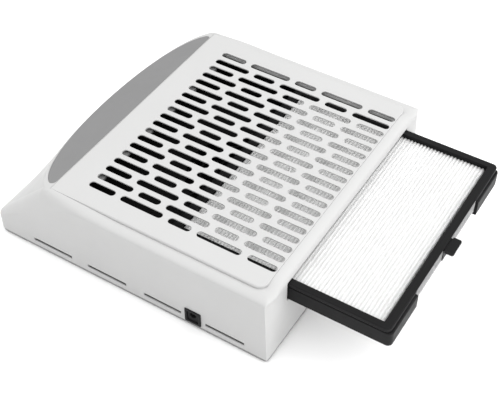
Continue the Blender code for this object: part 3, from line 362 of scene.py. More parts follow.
def piece(name, bm, body, slot, replaces=(), sharp=32, look=None):
    """The bmesh as a finished piece: faces out, smooth but for its sharp edges, riding on its body."""
    bmesh.ops.remove_doubles(bm, verts=bm.verts[:], dist=1e-7)
    bmesh.ops.delete(bm, geom=[edge for edge in bm.edges if not edge.link_faces], context="EDGES")
    bmesh.ops.recalc_face_normals(bm, faces=bm.faces[:])
    if bm.calc_volume(signed=True) < 0:
        bmesh.ops.reverse_faces(bm, faces=bm.faces[:])
    bmesh.ops.translate(bm, verts=bm.verts[:], vec=ORIGIN)
    mesh = bpy.data.meshes.new(name)
    bm.to_mesh(mesh)
    bm.free()
    made = bpy.data.objects.new(name, mesh)
    bpy.context.scene.collection.objects.link(made)
    mesh.materials.append(MATERIALS[look or slot])
    shade(mesh, sharp)
    even = made.modifiers.new("even_normals", "WEIGHTED_NORMAL")
    even.keep_sharp = True
    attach(made, body)
    if replaces:
        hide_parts(*replaces)
    return made


def shade(mesh, sharp):
    mesh.shade_smooth()
    mesh.set_sharp_from_angle(angle=math.radians(sharp))


def cut(bm, tools, operation="DIFFERENCE"):
    """The bmesh after a Boolean with each tool, a bmesh, in turn."""
    whole = as_object("boolean_target", bm)
    made = []
    for tool in tools:
        other = as_object("boolean_tool", tool)
        made.append(other)
        modifier = whole.modifiers.new("cut", "BOOLEAN")
        modifier.operation = operation
        modifier.solver = "EXACT"
        modifier.use_self = True
        modifier.object = other
    graph = bpy.context.evaluated_depsgraph_get()
    result = bmesh.new()
    result.from_object(whole, graph)
    for helper in (whole, *made):
        mesh = helper.data
        bpy.data.objects.remove(helper)
        bpy.data.meshes.remove(mesh)
    bmesh.ops.dissolve_degenerate(result, dist=1e-6, edges=result.edges[:])
    return result


def as_object(name, bm):
    bmesh.ops.recalc_face_normals(bm, faces=bm.faces[:])
    if bm.calc_volume(signed=True) < 0:
        bmesh.ops.reverse_faces(bm, faces=bm.faces[:])
    mesh = bpy.data.meshes.new(name)
    bm.to_mesh(mesh)
    bm.free()
    made = bpy.data.objects.new(name, mesh)
    bpy.context.scene.collection.objects.link(made)
    return made


def ring_faces(bm, ring, following):
    for k in range(len(ring)):
        j = (k + 1) % len(ring)
        bm.faces.new((ring[k], ring[j], following[j], following[k]))


def cap(bm, rings):
    """Fills the flat face between an outline, the first ring, and its convex holes."""
    corners = [vert for ring in rings for vert in ring]
    owner = [index for index, ring in enumerate(rings) for _ in ring]
    edges, first = [], 0
    for ring in rings:
        edges += [(first + k, first + (k + 1) % len(ring)) for k in range(len(ring))]
        first += len(ring)
    points = [vert.co.to_2d() for vert in corners]
    _, _, triangles, sources, _, _ = geometry.delaunay_2d_cdt(points, edges, [], 1, 1e-7)
    for triangle in triangles:
        picked = [sources[k][0] for k in triangle]
        in_hole = owner[picked[0]] and len({owner[k] for k in picked}) == 1
        if not in_hole:
            bm.faces.new([corners[k] for k in picked])


def slab(bm, outline, holes, bottom, top, edge, hole_edge, lower_edge=0.0, steps=4, hold=(0, 0), relief=None):
    """A plate with rounded edges. outline and holes give their loop of points when moved into the solid.

    hold: width of flat kept beyond the outline's and the holes' rounded edges, so that no long triangle
    meets them. relief: the loop and the height of a shallow recess in the underside, which holds every hole.
    """
    tops, bottoms = [], []
    shapes = [(outline, edge, bottom, hold[0])]
    shapes += [(hole, hole_edge, relief[1] if relief else bottom, hold[1]) for hole in holes]
    for shape, radius, low, margin in shapes:
        levels = []
        if lower_edge:
            turns = [math.pi / 2 * k / steps for k in range(steps)]
            levels += [(lower_edge * (1 - math.sin(t)), low + lower_edge * (1 - math.cos(t))) for t in turns]
        levels.append((0, low + lower_edge))
        turns = [math.pi / 2 * k / steps for k in range(steps + 1)]
        levels += [(radius * (1 - math.cos(t)), top - radius + radius * math.sin(t)) for t in turns]
        if margin:
            levels.append((radius + margin, top))
        rings = [[bm.verts.new((x, y, z)) for x, y in shape(inset)] for inset, z in levels]
        for ring, following in zip(rings, rings[1:]):
            ring_faces(bm, ring, following)
        bottoms.append(rings[0])
        tops.append(rings[-1])
    if relief:
        mouth, ceiling = ([bm.verts.new((x, y, z)) for x, y in relief[0]] for z in (bottom, relief[1]))
        ring_faces(bm, mouth, ceiling)
        cap(bm, [bottoms[0], mouth])
        cap(bm, [ceiling, *bottoms[1:]])
    else:
        cap(bm, bottoms)
    cap(bm, tops)


def arc(centre, radius, start, end, steps):
    angles = [math.radians(start + (end - start) * k / steps) for k in range(steps + 1)]
    return [(centre[0] + radius * math.cos(a), centre[1] + radius * math.sin(a)) for a in angles]


def rounded_rectangle(front, back, low, high, front_radius, back_radius, steps=8):
    """A rectangle in two directions with rounded corners."""
    points = arc((back - back_radius, high - back_radius), back_radius, 0, 90, steps)
    points += arc((front + front_radius, high - front_radius), front_radius, 90, 180, steps)
    points += arc((front + front_radius, low + front_radius), front_radius, 180, 270, steps)
    points += arc((back - back_radius, low + back_radius), back_radius, 270, 360, steps)
    return points


def slot_loop(middle, y, length, width, steps=8):
    radius = width / 2
    reach = length / 2 - radius
    return arc((middle + reach, y), radius, -90, 90, steps) + arc((middle - reach, y), radius, 90, 270, steps)


def circle_loop(centre, radius, steps=32):
    return arc(centre, radius, 0, 360 * (steps - 1) / steps, steps - 1)


def rounded_box(bm, low, high, radius, segments=3):
    """Adds a box with all its edges rounded."""
    size = Vector(high) - Vector(low)
    middle = (Vector(high) + Vector(low)) / 2
    matrix = Matrix.Translation(middle) @ Matrix.Diagonal((*size, 1))
    made = bmesh.ops.create_cube(bm, size=1, matrix=matrix)
    edges = list({edge for vert in made["verts"] for edge in vert.link_edges})
    bmesh.ops.bevel(bm, geom=edges, offset=radius, segments=segments, profile=0.5, affect="EDGES")


def box_tool(low, high):
    bm = bmesh.new()
    size = Vector(high) - Vector(low)
    middle = (Vector(high) + Vector(low)) / 2
    bmesh.ops.create_cube(bm, size=1, matrix=Matrix.Translation(middle) @ Matrix.Diagonal((*size, 1)))
    return bm


def flared_tool(loop, inner, outer, flare, place):
    """A cutter along a loop of points, wider towards its outer end, put in place by a function."""
    bm = bmesh.new()
    levels = ((0, inner), (0, outer - flare), (flare, outer), (flare * 3, outer + flare * 2))
    rings = [[bm.verts.new(place(u, v, depth)) for u, v in loop(grow)] for grow, depth in levels]
    for ring, following in zip(rings, rings[1:]):
        ring_faces(bm, ring, following)
    bm.faces.new(rings[0])
    bm.faces.new(rings[-1])
    return bm


def turned(bm, profile, centre, steps=48):
    """Turns an outline of (radius, height) points, both ends on the upright axis through centre."""
    rings = []
    for radius, height in profile:
        if radius == 0:
            rings.append([bm.verts.new((*centre, height))])
        else:
            rings.append([bm.verts.new((x, y, height)) for x, y in circle_loop(centre, radius, steps)])
    for ring, following in zip(rings, rings[1:]):
        for k in range(steps):
            corners = [ring[k % len(ring)], ring[(k + 1) % len(ring)]]
            corners += [following[(k + 1) % len(following)], following[k % len(following)]]
            corners = list(dict.fromkeys(corners))
            if len(corners) > 2:
                bm.faces.new(corners)


# ---------------------------------------------------------------- casing


def rounding(share):
    """How far a quarter circle has dropped, from 0 at share 0 to 1 at share 1."""
    share = min(max(share, 0), 1)
    return 1 - math.sqrt(1 - share * share)


def smooth(share):
    share = min(max(share, 0), 1)
    return share * share * (3 - 2 * share)


def side_edge(x):
    """Height of the edge along the casing's vertical side: a rising line that bends into a level one."""
    rising = SIDE_FOOT + SIDE_SLOPE * x
    return SIDE_TOP - SIDE_BEND * math.log(1 + math.exp((SIDE_TOP - rising) / SIDE_BEND))


def back_face(across, z):
    """x of the back face, which bends forward to a crisp upright edge, further and wider towards the top."""
    share = min(max(z / SIDE_TOP, 0), 1)
    width = 0.004 + 0.008 * share
    depth = 0.0004 + 0.0024 * share
    return CASE_LENGTH - depth * min(max((across - CASE_HALF + width) / width, 0), 1) ** 1.8


def fillet(before, corner, after, reach, steps):
    """Points of a smooth bend at a corner, reaching the same way along both its sides."""
    corner = Vector(corner)
    start = corner + (Vector(before) - corner).normalized() * reach
    end = corner + (Vector(after) - corner).normalized() * reach
    turns = [k / steps for k in range(steps + 1)]
    return [tuple(start * (1 - t) ** 2 + corner * 2 * t * (1 - t) + end * t**2) for t in turns]


def between(first, last, count):
    """count points between two, both left out."""
    shares = [(k + 1) / (count + 1) for k in range(count)]
    return [tuple(Vector(first).lerp(Vector(last), share)) for share in shares]


def casing_outline(across, fine=True, beyond_step=False):
    """The casing's outline in x and z at a distance from its centre plane, from front foot to back foot."""
    core = min(across, SHOULDER)
    side_share = rounding((across - SHOULDER) / SHOULDER_WIDTH)
    front = FRONT_CORNER * rounding((across - CASE_HALF + FRONT_CORNER) / FRONT_CORNER)
    ridge_x = CHORD_X - RIDGE_DEPTH * math.sqrt(1 - (core / RIDGE_HALF) ** 2)
    ridge = (ridge_x, DECK - (CHORD_X - ridge_x) * math.tan(FACET_TILT))
    lip, chord, foot = (0, LIP), (CHORD_X, DECK), (0, 0)
    if fine:
        bend_low = fillet(foot, lip, ridge, 0.0026, 6)
        bend_high = fillet(lip, ridge, chord, 0.0016, 5)
        nose = bend_low + between(bend_low[-1], bend_high[0], 7) + bend_high
        nose += between(bend_high[-1], chord, 3) + [chord]
        seat = [CHORD_X + step for step in (0.00002, 0.0015, 0.003, 0.005, 0.008, 0.012, 0.017, 0.024)]
        seat += [0.095, 0.120, 0.160, 0.200, 0.235]
        shoulder = [k / 9 for k in range(10)]
    else:
        nose = [lip, *between(lip, ridge, 1), ridge, chord]
        seat = [CHORD_X + 0.00002, 0.070, 0.095]
        shoulder = [0, 1]
    shaped = []
    for x, z in nose:
        place = x + front if x < CHORD_X / 2 else x
        shaped.append((place, z - (z - side_edge(x)) * side_share))
    top_back = back_face(across, SEAT)
    if fine:
        seat += [STRIP_FRONT, STRIP_FRONT + 0.00002]
    seat += [BACK_SHOULDER + (top_back - BACK_SHOULDER) * step for step in shoulder]
    rise = STRIP_RISE * (1 - smooth((across - 0.100) / 0.014)) if fine else 0
    for x in seat:
        level = DECK - (DECK - SEAT) * smooth((x - CHORD_X) / STEP_FADE) if beyond_step else SEAT
        if x > STRIP_FRONT:
            level += rise * (1 - rounding((x - STRIP_FRONT) / (top_back - STRIP_FRONT)))
        side_drop = (level - side_edge(x)) * side_share
        back_drop = BACK_DROP * rounding((x - BACK_SHOULDER) / (top_back - BACK_SHOULDER))
        shaped.append((x, level - (side_drop**3 + back_drop**3) ** (1 / 3)))
    corner = shaped[-1][1]
    steps = (0.985, 0.95, 0.88, 0.78, 0.66, 0.5, 0.25, 0) if fine else (0,)
    shaped += [(back_face(across, corner * step), corner * step) for step in steps]
    return [(front, 0)] + shaped


def inset_outline(points, distance):
    """Moves an open outline inwards, keeping its corners mitred."""
    moved = []
    for i, point in enumerate(points):
        here = Vector(point)
        before = (here - Vector(points[i - 1])).normalized() if i else None
        after = (Vector(points[i + 1]) - here).normalized() if i + 1 < len(points) else None
        before = before or after
        after = after or before
        normal = Vector((before.y, -before.x)) + Vector((after.y, -after.x))
        normal.normalize()
        moved.append(tuple(here + normal * distance / max(normal.dot(Vector((before.y, -before.x))), 0.5)))
    return moved


def casing_body(inset, bottom):
    """The casing's outer form, or its cavity when inset by the wall, as one closed solid."""
    fine = not inset
    if fine:
        half = [6 * k / 1000 for k in range(15)]
        half += [0.089, 0.094, 0.098, 0.102, 0.106, 0.109, 0.112, 0.114, SHOULDER, SHOULDER + 0.00002]
        half += [SHOULDER + SHOULDER_WIDTH * math.sin(math.pi / 2 * k / 16) for k in range(1, 17)]
    else:
        half = [0, 0.03, 0.055, 0.075, 0.09, 0.101, 0.109, 0.1135]
        half += [0.116, 0.1185, 0.1207, 0.1225, 0.1242, 0.125]
    stations = [-across for across in reversed(half[1:])] + half
    shrink = (CASE_HALF - inset) / CASE_HALF
    bm = bmesh.new()
    rows = []
    for station in stations:
        across = abs(station)
        outline = casing_outline(across, fine, fine and across > SHOULDER)
        if inset:
            outline = inset_outline(outline, inset)
        outline[0] = (outline[0][0], bottom)
        outline[-1] = (outline[-1][0], bottom)
        rows.append([bm.verts.new((x, station * shrink, z)) for x, z in outline])
    for row, following in zip(rows, rows[1:]):
        for k in range(len(row) - 1):
            bm.faces.new((row[k], row[k + 1], following[k + 1], following[k]))
    bm.faces.new(rows[0])
    bm.faces.new(rows[-1])
    bm.faces.new([row[0] for row in rows] + [row[-1] for row in reversed(rows)])
    bmesh.ops.dissolve_degenerate(bm, dist=1e-6, edges=bm.edges[:])
    return bm


def facet_matrix():
    tilt = Matrix.Rotation(-FACET_TILT, 4, "Y")
    return Matrix.Translation((CHORD_X, 0, DECK)) @ tilt


def trim_loop(grow, count=56):
    """Half an ellipse below the chord, in the facet's plane, its tips rounded, offset outwards by grow."""
    depth = TRIM_DEPTH / math.cos(FACET_TILT)
    curve = []
    for k in range(count + 1):
        turn = TRIM_TIP_TURN * (1 - 2 * k / count)
        point = Vector((-depth * math.cos(turn), TRIM_HALF * math.sin(turn)))
        normal = Vector((point.x / depth**2, point.y / TRIM_HALF**2)).normalized()
        curve.append(tuple(point + normal * grow))
        if k == 0:
            tip_centre = point - normal * TRIM_TIP
            tip_angle = math.degrees(math.atan2(normal.y, normal.x))
    near = arc(tip_centre, TRIM_TIP + grow, 0, tip_angle, 12)[:-1]
    far = [(x, -y) for x, y in reversed(near)]
    return curve + far + near


def side_tools():
    """Flared cutters for the slits, the inlet and the switch, and for the cassette's slot in the back."""
    tools = []
    inner = CASE_HALF - 2 * WALL
    for front, back in SLIT_SPANS:
        for side in (-1, 1):
            def loop(grow, front=front, back=back):
                low, high = SLIT_LOW - grow, SLIT_HIGH + grow
                return rounded_rectangle(front - grow, back + grow, low, high, 0.0006, 0.0006, 4)

            def place(u, v, depth, side=side):
                return (u, side * depth, v)

            tools.append(flared_tool(loop, inner, CASE_HALF, 0.0001, place))
            behind_low, behind_high = sorted((side * inner, side * (CASE_HALF - SLIT_LIP)))
            tools.append(box_tool((front - 0.0005, behind_low, SLIT_LOW - 0.0025),
                                  (back + 0.0005, behind_high, SLIT_HIGH + 0.0010)))
    for low, high, side in ((BEZEL_LOW, BEZEL_HIGH, -1), (SWITCH_LOW, SWITCH_HIGH, 1)):
        def loop(grow, low=low, high=high):
            reach = FLANGE_LAP - grow
            edges = (low.x + reach, high.x - reach, low.z + reach, high.z - reach)
            return rounded_rectangle(*edges, 0.0005, 0.0005, 3)

        def place(u, v, depth, side=side):
            return (u, side * depth, v)

        tools.append(flared_tool(loop, inner, CASE_HALF, 0.0001, place))

    def slot_shape(grow):
        """The cassette's slot, a little larger than the cassette all round."""
        low_y, high_y = TRAY_LOW.y - 0.001 - grow, TRAY_HIGH.y + 0.001 + grow
        low_z, high_z = TRAY_LOW.z - 0.0008 - grow, RIM_HIGH.z + 0.0006 + grow
        return rounded_rectangle(low_y, high_y, low_z, high_z, 0.001, 0.001, 4)

    def place_back(u, v, depth):
        return (depth, u, v)

    tools.append(flared_tool(slot_shape, CASE_LENGTH - 2.2 * WALL, CASE_LENGTH, 0.0004, place_back))
    return tools


def upper_casing():
    opening = bmesh.new()
    corners = (OPENING_FRONT, OPENING_BACK, -OPENING_HALF, OPENING_HALF, 0.004, 0.004)
    slab(opening, lambda g: rounded_rectangle(*corners), [], SEAT - 0.010, DECK + 0.005, 0.0001, 0)
    pocket = bmesh.new()
    slab(pocket, lambda g: trim_loop(SEAM_GAP - g), [], -TRIM_THICKNESS - SEAM_GAP, 0.010, 0.0001, 0)
    bmesh.ops.transform(pocket, matrix=facet_matrix(), verts=pocket.verts[:])
    shell = cut(casing_body(0, SEAM), [casing_body(WALL, -0.006), opening, pocket, *side_tools()])
    return piece("casing_shell", shell, "housing", "white_plastic", ("upper_casing",), 40)


# ---------------------------------------------------------------- deck panel and trim


def slot_spans(row):
    """The slots of one row as (front, back), long and short in turn; the end ones reach the ends."""
    spans = []
    for step in range(-3, 4):
        length = LONG_SLOT if (row + step) % 2 else SHORT_SLOT
        middle = PATTERN_CENTRE + step * HALF_PERIOD
        front = max(middle - length / 2, PATTERN_FRONT)
        back = min(middle + length / 2, PATTERN_BACK)
        if back - front > SLOT_WIDTH:
            spans.append((front, back))
    spans[0] = (PATTERN_FRONT, spans[0][1])
    spans[-1] = (spans[-1][0], PATTERN_BACK)
    return spans


def row_y(row):
    return (row - (SLOT_ROWS - 1) / 2) * ROW_PITCH


def slot_shape_for(front, back, y):
    """A slot's loop, which widens as it moves into the solid."""
    return lambda inset: slot_loop((front + back) / 2, y, back - front + 2 * inset, SLOT_WIDTH + 2 * inset)


def deck_panel():
    def outline(inset):
        """The side edges' rounding fades out towards the front, where panel and shoulder are flush."""
        front = CHORD_X + SEAM_GAP + inset * 0.12
        back = PANEL_BACK - inset * 0.3
        half = SHOULDER - SEAM_GAP
        corner = PANEL_CORNER - inset * 0.5
        turn = arc((back - corner, half - inset - corner), corner, 0, 90, 12)
        places = [front + (back - corner - front) * k / 24 for k in range(24)]
        edge = [(x, half - inset * smooth((x - CHORD_X) / STEP_FADE)) for x in reversed(places)]
        far = turn + edge
        return far + [(x, -y) for x, y in reversed(far)]

    holes = [slot_shape_for(a, b, row_y(row)) for row in range(SLOT_ROWS) for a, b in slot_spans(row)]
    field = rounded_rectangle(FIELD_FRONT, FIELD_BACK, -FIELD_HALF, FIELD_HALF, 0.002, 0.006)
    bm = bmesh.new()
    slab(bm, outline, holes, SEAT + 0.00003, DECK, PANEL_STEP, SLOT_EDGE, 0, 5, (0.0006, SLOT_HOLD),
         (field, FIELD_UNDERSIDE))
    for row in range(1, SLOT_ROWS, 3):
        low_y, high_y = row_y(row) - LUG_HALF, row_y(row) + LUG_HALF
        root_low = (PATTERN_FRONT - LUG_REACH, low_y, LUG_BOTTOM)
        root_high = (PATTERN_FRONT - 0.0005, high_y, FIELD_UNDERSIDE + 0.0003)
        rounded_box(bm, root_low, root_high, 0.0002, 2)
        tongue_low = (PATTERN_FRONT - 0.0008, low_y, LUG_BOTTOM)
        rounded_box(bm, tongue_low, (PATTERN_FRONT + LUG_REACH, high_y, LUG_TOP), 0.0002, 2)
    # The lugs get painted shade from this material, darker below their tops.
    return piece("deck_panel", bm, "housing", "white_plastic", ("deck_grille",), 40, "grille_painted_shade")


def trim_panel():
    bm = bmesh.new()
    slab(bm, lambda inset: trim_loop(-inset - 0.00002), [], -TRIM_THICKNESS, 0, 0.00035, 0, 0.0001, 3)
    bmesh.ops.transform(bm, matrix=facet_matrix(), verts=bm.verts[:])
    return piece("trim_inlay", bm, "housing", "grey_trim", ("trim_panel",), 40)


# ---------------------------------------------------------------- cassette


def cassette_loop(out):
    """The loop of a frame's outline whose outer end is at x out."""
    def loop(inset):
        half = TRAY_HIGH.y - inset
        return rounded_rectangle(RIM_LOW.x + inset, out - inset, -half, half, 0.0020, 0.0040, 8)

    return loop


def window_loop(back):
    """The loop of a frame's opening over the medium, which widens as it moves into the solid."""
    def loop(inset):
        half = WINDOW_HALF + inset
        return rounded_rectangle(WINDOW_FRONT - inset, back + inset, -half, half, 0.0004, 0.0004, 4)

    return loop


def hem_spans():
    """The two stretches along the end wall where the medium's hem shows, as (low y, high y)."""
    return ((-CUTOUT_REACH, -HEM_NEAR), (HEM_NEAR, CUTOUT_REACH))


def filter_rim():
    """Upper frame with the pull tab; a thin lip of it covers each hem of the medium."""
    def tab_loop(inset):
        front, back = CASSETTE_OUT - 0.003 + inset, RIM_HIGH.x - inset
        return rounded_rectangle(front, back, -TAB_HALF + inset, TAB_HALF - inset, 0.0005, 0.0016, 5)

    bm = bmesh.new()
    window = window_loop(RIM_WINDOW_BACK)
    slab(bm, cassette_loop(CASSETTE_OUT), [window], RIM_LOW.z, RIM_HIGH.z, 0.0006, 0.0006, 0.0009, 4)
    tab = bmesh.new()
    slab(tab, tab_loop, [], TAB_LOW, TAB_HIGH, 0.0003, 0, 0.0003, 3)
    rim = cut(bm, [tab], "UNION")
    gaps = []
    for low_y, high_y in hem_spans():
        low = (HEM_STEP - MEDIA_GAP, low_y, RIM_LOW.z - 0.001)
        gaps.append(box_tool(low, (CASSETTE_OUT + 0.001, high_y, HEM_TOP + MEDIA_GAP)))
    return piece("rim_frame", cut(rim, gaps), "filter_cassette", "black_plastic", ("filter_rim",), 40)


def filter_tray():
    """Lower frame: its outer end wall cut away in the middle, bars under the medium."""
    bm = bmesh.new()
    window = window_loop(TRAY_WINDOW_BACK)
    slab(bm, cassette_loop(TRAY_OUT), [window], TRAY_LOW.z, TRAY_HIGH.z, 0.0009, 0.0003, 0.0012, 4)
    bars = []
    for y in (-0.044, 0, 0.044):
        bar = bmesh.new()
        low = (WINDOW_FRONT - 0.001, y - 0.0015, TRAY_LOW.z + 0.0001)
        rounded_box(bar, low, (TRAY_WINDOW_BACK + 0.001, y + 0.0015, TRAY_LOW.z + 0.0014), 0.0004, 2)
        bars.append(bar)
    tray = cut(bm, bars, "UNION")
    beyond, above = TRAY_OUT + 0.001, TRAY_HIGH.z + 0.001
    low = (CUTOUT_FRONT, -CUTOUT_REACH, TRAY_LOW.z - 0.001)
    cutters = [box_tool(low, (beyond, CUTOUT_REACH, CUTOUT_TOP))]
    low = (CASSETTE_OUT, -CUTOUT_REACH, TRAY_LOW.z)
    cutters.append(box_tool(low, (beyond, CUTOUT_REACH, above)))
    for low_y, high_y in hem_spans():
        low = (TRAY_WINDOW_BACK - 0.001, low_y, CUTOUT_TOP - MEDIA_GAP)
        cutters.append(box_tool(low, (beyond, high_y, above)))
    return piece("tray_frame", cut(tray, cutters), "filter_cassette", "black_plastic", ("filter_tray",), 40)


def filter_media():
    """Pleated paper whose folds waver a little, and the hems that show in the end wall's gaps."""
    front, back = WINDOW_FRONT + MEDIA_GAP, TRAY_WINDOW_BACK - MEDIA_GAP
    half = WINDOW_HALF - MEDIA_GAP
    folds = round((back - front) / PLEAT_PITCH)
    per_fold = 8
    columns = folds * per_fold
    rows = 40
    bm = bmesh.new()
    grid = []
    for i in range(columns + 1):
        fold_place = i / per_fold
        wave = abs((fold_place % 1) * 2 - 1)
        height = PLEAT_TOP - 0.0001 - PLEAT_DEPTH * (0.5 - 0.5 * math.cos(math.pi * wave)) ** 0.8
        line = []
        for j in range(rows + 1):
            y = -half + 2 * half * j / rows
            edge_hold = min(1, (1 - abs(2 * j / rows - 1)) * 6) * min(1, i / 8, (columns - i) / 8)
            waver = noise.noise(Vector((fold_place * 0.7, y * 22, 0))) * 0.00012 * edge_hold
            dip = (0.5 + 0.5 * noise.noise(Vector((math.floor(fold_place) * 1.7, y * 14, 5)))) * 0.00018
            x = front + (back - front) * i / columns + waver
            line.append(bm.verts.new((x, y, height - dip)))
        grid.append(line)
    for line, following in zip(grid, grid[1:]):
        for j in range(rows):
            bm.faces.new((line[j], line[j + 1], following[j + 1], following[j]))
    rim = [line[0] for line in grid] + grid[-1][1:]
    rim += [line[-1] for line in reversed(grid[:-1])] + grid[0][-2:0:-1]
    base = [bm.verts.new((vert.co.x, vert.co.y, MEDIA_BOTTOM)) for vert in rim]
    ring_faces(bm, rim, base)
    bm.faces.new(base)
    for low_y, high_y in hem_spans():
        low_y, high_y = low_y + MEDIA_GAP, high_y - MEDIA_GAP
        inner_low = (back - 0.0006, low_y + 0.00006, CUTOUT_TOP + 0.00006)
        rounded_box(bm, inner_low, (HEM_STEP + 0.0006, high_y - 0.00006, TRAY_HIGH.z), 0.0003, 3)
        rounded_box(bm, (HEM_STEP, low_y, CUTOUT_TOP), (HEM_OUT, high_y, HEM_TOP), 0.0003, 3)
    return piece("pleated_medium", bm, "filter_cassette", "filter_paper", ("filter_media",), 50)


# ---------------------------------------------------------------- low details


def box_loop(low, high):
    """The loop of a rectangle in x and z, moved into the solid by inset."""
    return lambda inset: rounded_rectangle(
        low[0] + inset, high[0] - inset, low[1] + inset, high[1] - inset, 0.0006, 0.0006, 4)


def hole_loop(low, high):
    return lambda inset: rounded_rectangle(
        low[0] - inset, high[0] + inset, low[1] - inset, high[1] + inset, 0.0005, 0.0005, 4)


def to_side(bm, side):
    """Stands a slab drawn in (x, z) up on the near (-1) or far (1) side: its height becomes the way out."""
    for vert in bm.verts:
        x, z, out = vert.co
        vert.co = (x, side * out, z)


def jack_bezel():
    low, high = (BEZEL_LOW.x, BEZEL_LOW.z), (BEZEL_HIGH.x, BEZEL_HIGH.z)
    wall = 0.0021
    inner_low = tuple(value + wall for value in low)
    inner_high = tuple(value - wall for value in high)
    bm = bmesh.new()
    hole = hole_loop(inner_low, inner_high)
    slab(bm, box_loop(low, high), [hole], CASE_HALF + 0.0001, -BEZEL_LOW.y, 0.0005, 0.0003)
    sleeve_low = tuple(value + 0.0013 for value in low)
    sleeve_high = tuple(value - 0.0013 for value in high)
    sleeve = box_loop(sleeve_low, sleeve_high)
    slab(bm, sleeve, [hole], CASE_HALF - 0.0032, CASE_HALF + 0.00012, 0.0001, 0.0)
    to_side(bm, -1)
    return piece("inlet_bezel", bm, "housing", "black_plastic", ("jack_bezel",), 40, "inlet_plastic")


def dc_jack():
    middle = ((JACK_LOW.x + JACK_HIGH.x) / 2, (JACK_LOW.z + JACK_HIGH.z) / 2 + SOCKET_RISE)
    low, high = (JACK_LOW.x, JACK_LOW.z), (JACK_HIGH.x, JACK_HIGH.z)
    bm = bmesh.new()
    slab(bm, box_loop(low, high), [], CASE_HALF - 0.011, CASE_HALF, 0.0003, 0)

    def socket_loop(inset):
        return circle_loop(middle, SOCKET_RADIUS - inset)

    def pin_loop(inset):
        return circle_loop(middle, PIN_RADIUS + inset)

    socket = bmesh.new()
    slab(socket, socket_loop, [pin_loop], CASE_HALF - SOCKET_DEPTH, CASE_HALF - PIN_DROP + 0.0001, 0.0, 0.0)
    mouth = bmesh.new()
    slab(mouth, socket_loop, [], CASE_HALF - PIN_DROP, CASE_HALF + 0.001, 0.0, 0.0)
    jack = cut(bm, [socket, mouth])
    to_side(jack, -1)
    return piece("inlet_jack", jack, "housing", "black_plastic", ("dc_jack",), 40, "inlet_plastic")


def switch_body():
    low, high = (SWITCH_LOW.x, SWITCH_LOW.z), (SWITCH_HIGH.x, SWITCH_HIGH.z)
    well_low = (low[0] + 0.0016, low[1] + 0.0018)
    well_high = (high[0] - 0.0016, high[1] - 0.0018)
    bm = bmesh.new()
    slab(bm, box_loop(low, high), [], CASE_HALF + 0.0001, SWITCH_HIGH.y, 0.0005, 0)
    block_low = tuple(value + 0.0010 for value in low)
    block_high = tuple(value - 0.0010 for value in high)
    block = bmesh.new()
    slab(block, box_loop(block_low, block_high), [], CASE_HALF - 0.0147, CASE_HALF + 0.0004, 0.0001, 0)
    whole = cut(bm, [block], "UNION")
    well = bmesh.new()
    slab(well, box_loop(well_low, well_high), [], CASE_HALF - 0.0102, CASE_HALF + 0.003, 0.0001, 0)
    whole = cut(whole, [well])
    to_side(whole, 1)
    return piece("switch_housing", whole, "housing", "black_plastic", ("switch_body",), 40)


def power_rocker():
    """A rocker with a hollowed face, tipped to its off side, with a raised bar as its only mark."""
    joint = next(j for j in frame["joints"] if j["name"] == "rocker_tilt")
    pivot = Vector(joint["pos_m"]) - ORIGIN
    bm = bmesh.new()
    half, tall = 0.0080, 0.0053
    face = [(-half + 2 * half * k / 24, 0.0022 + 0.0010 * abs(2 * k / 24 - 1) ** 1.6) for k in range(25)]
    outline = face + [(half, -0.0004), (0.0025, -0.0040), (-0.0025, -0.0040), (-half, -0.0004)]
    levels = ((-tall, 0.0004), (-tall + 0.0004, 0), (tall - 0.0004, 0), (tall, 0.0004))
    rings = []
    for z, inset in levels:
        shrink = 1 - inset / half
        rings.append([bm.verts.new((x * shrink, y * shrink, z)) for x, y in outline])
    for ring, following in zip(rings, rings[1:]):
        ring_faces(bm, ring, following)
    bm.faces.new(rings[0])
    bm.faces.new(rings[-1])
    bar = bmesh.new()
    rounded_box(bar, (0.0042, 0.0022, -0.0014), (0.0048, 0.0029, 0.0014), 0.00015, 2)
    bm = cut(bm, [bar], "UNION")
    turn = Matrix.Translation(pivot) @ Matrix.Rotation(math.radians(-7), 4, "Z")
    bmesh.ops.transform(bm, matrix=turn, verts=bm.verts[:])
    return piece("rocker_key", bm, "rocker", "black_plastic", ("power_rocker",), 40)


def feet():
    for index in range(1, 5):
        low, high = box_of(f"foot_{index}")
        centre = ((low.x + high.x) / 2, (low.y + high.y) / 2)
        radius = (high.x - low.x) / 2
        profile = [(0, low.z + 0.0002), (0.0036, low.z + 0.0002), (0.0040, low.z)]
        profile += [(r, z) for r, z in arc((radius - 0.0012, low.z + 0.0012), 0.0012, -90, 0, 6)]
        profile += [(radius, high.z), (0, high.z)]
        bm = bmesh.new()
        turned(bm, profile, centre)
        piece(f"rubber_foot_{index}", bm, "housing", "rubber", (f"foot_{index}",))


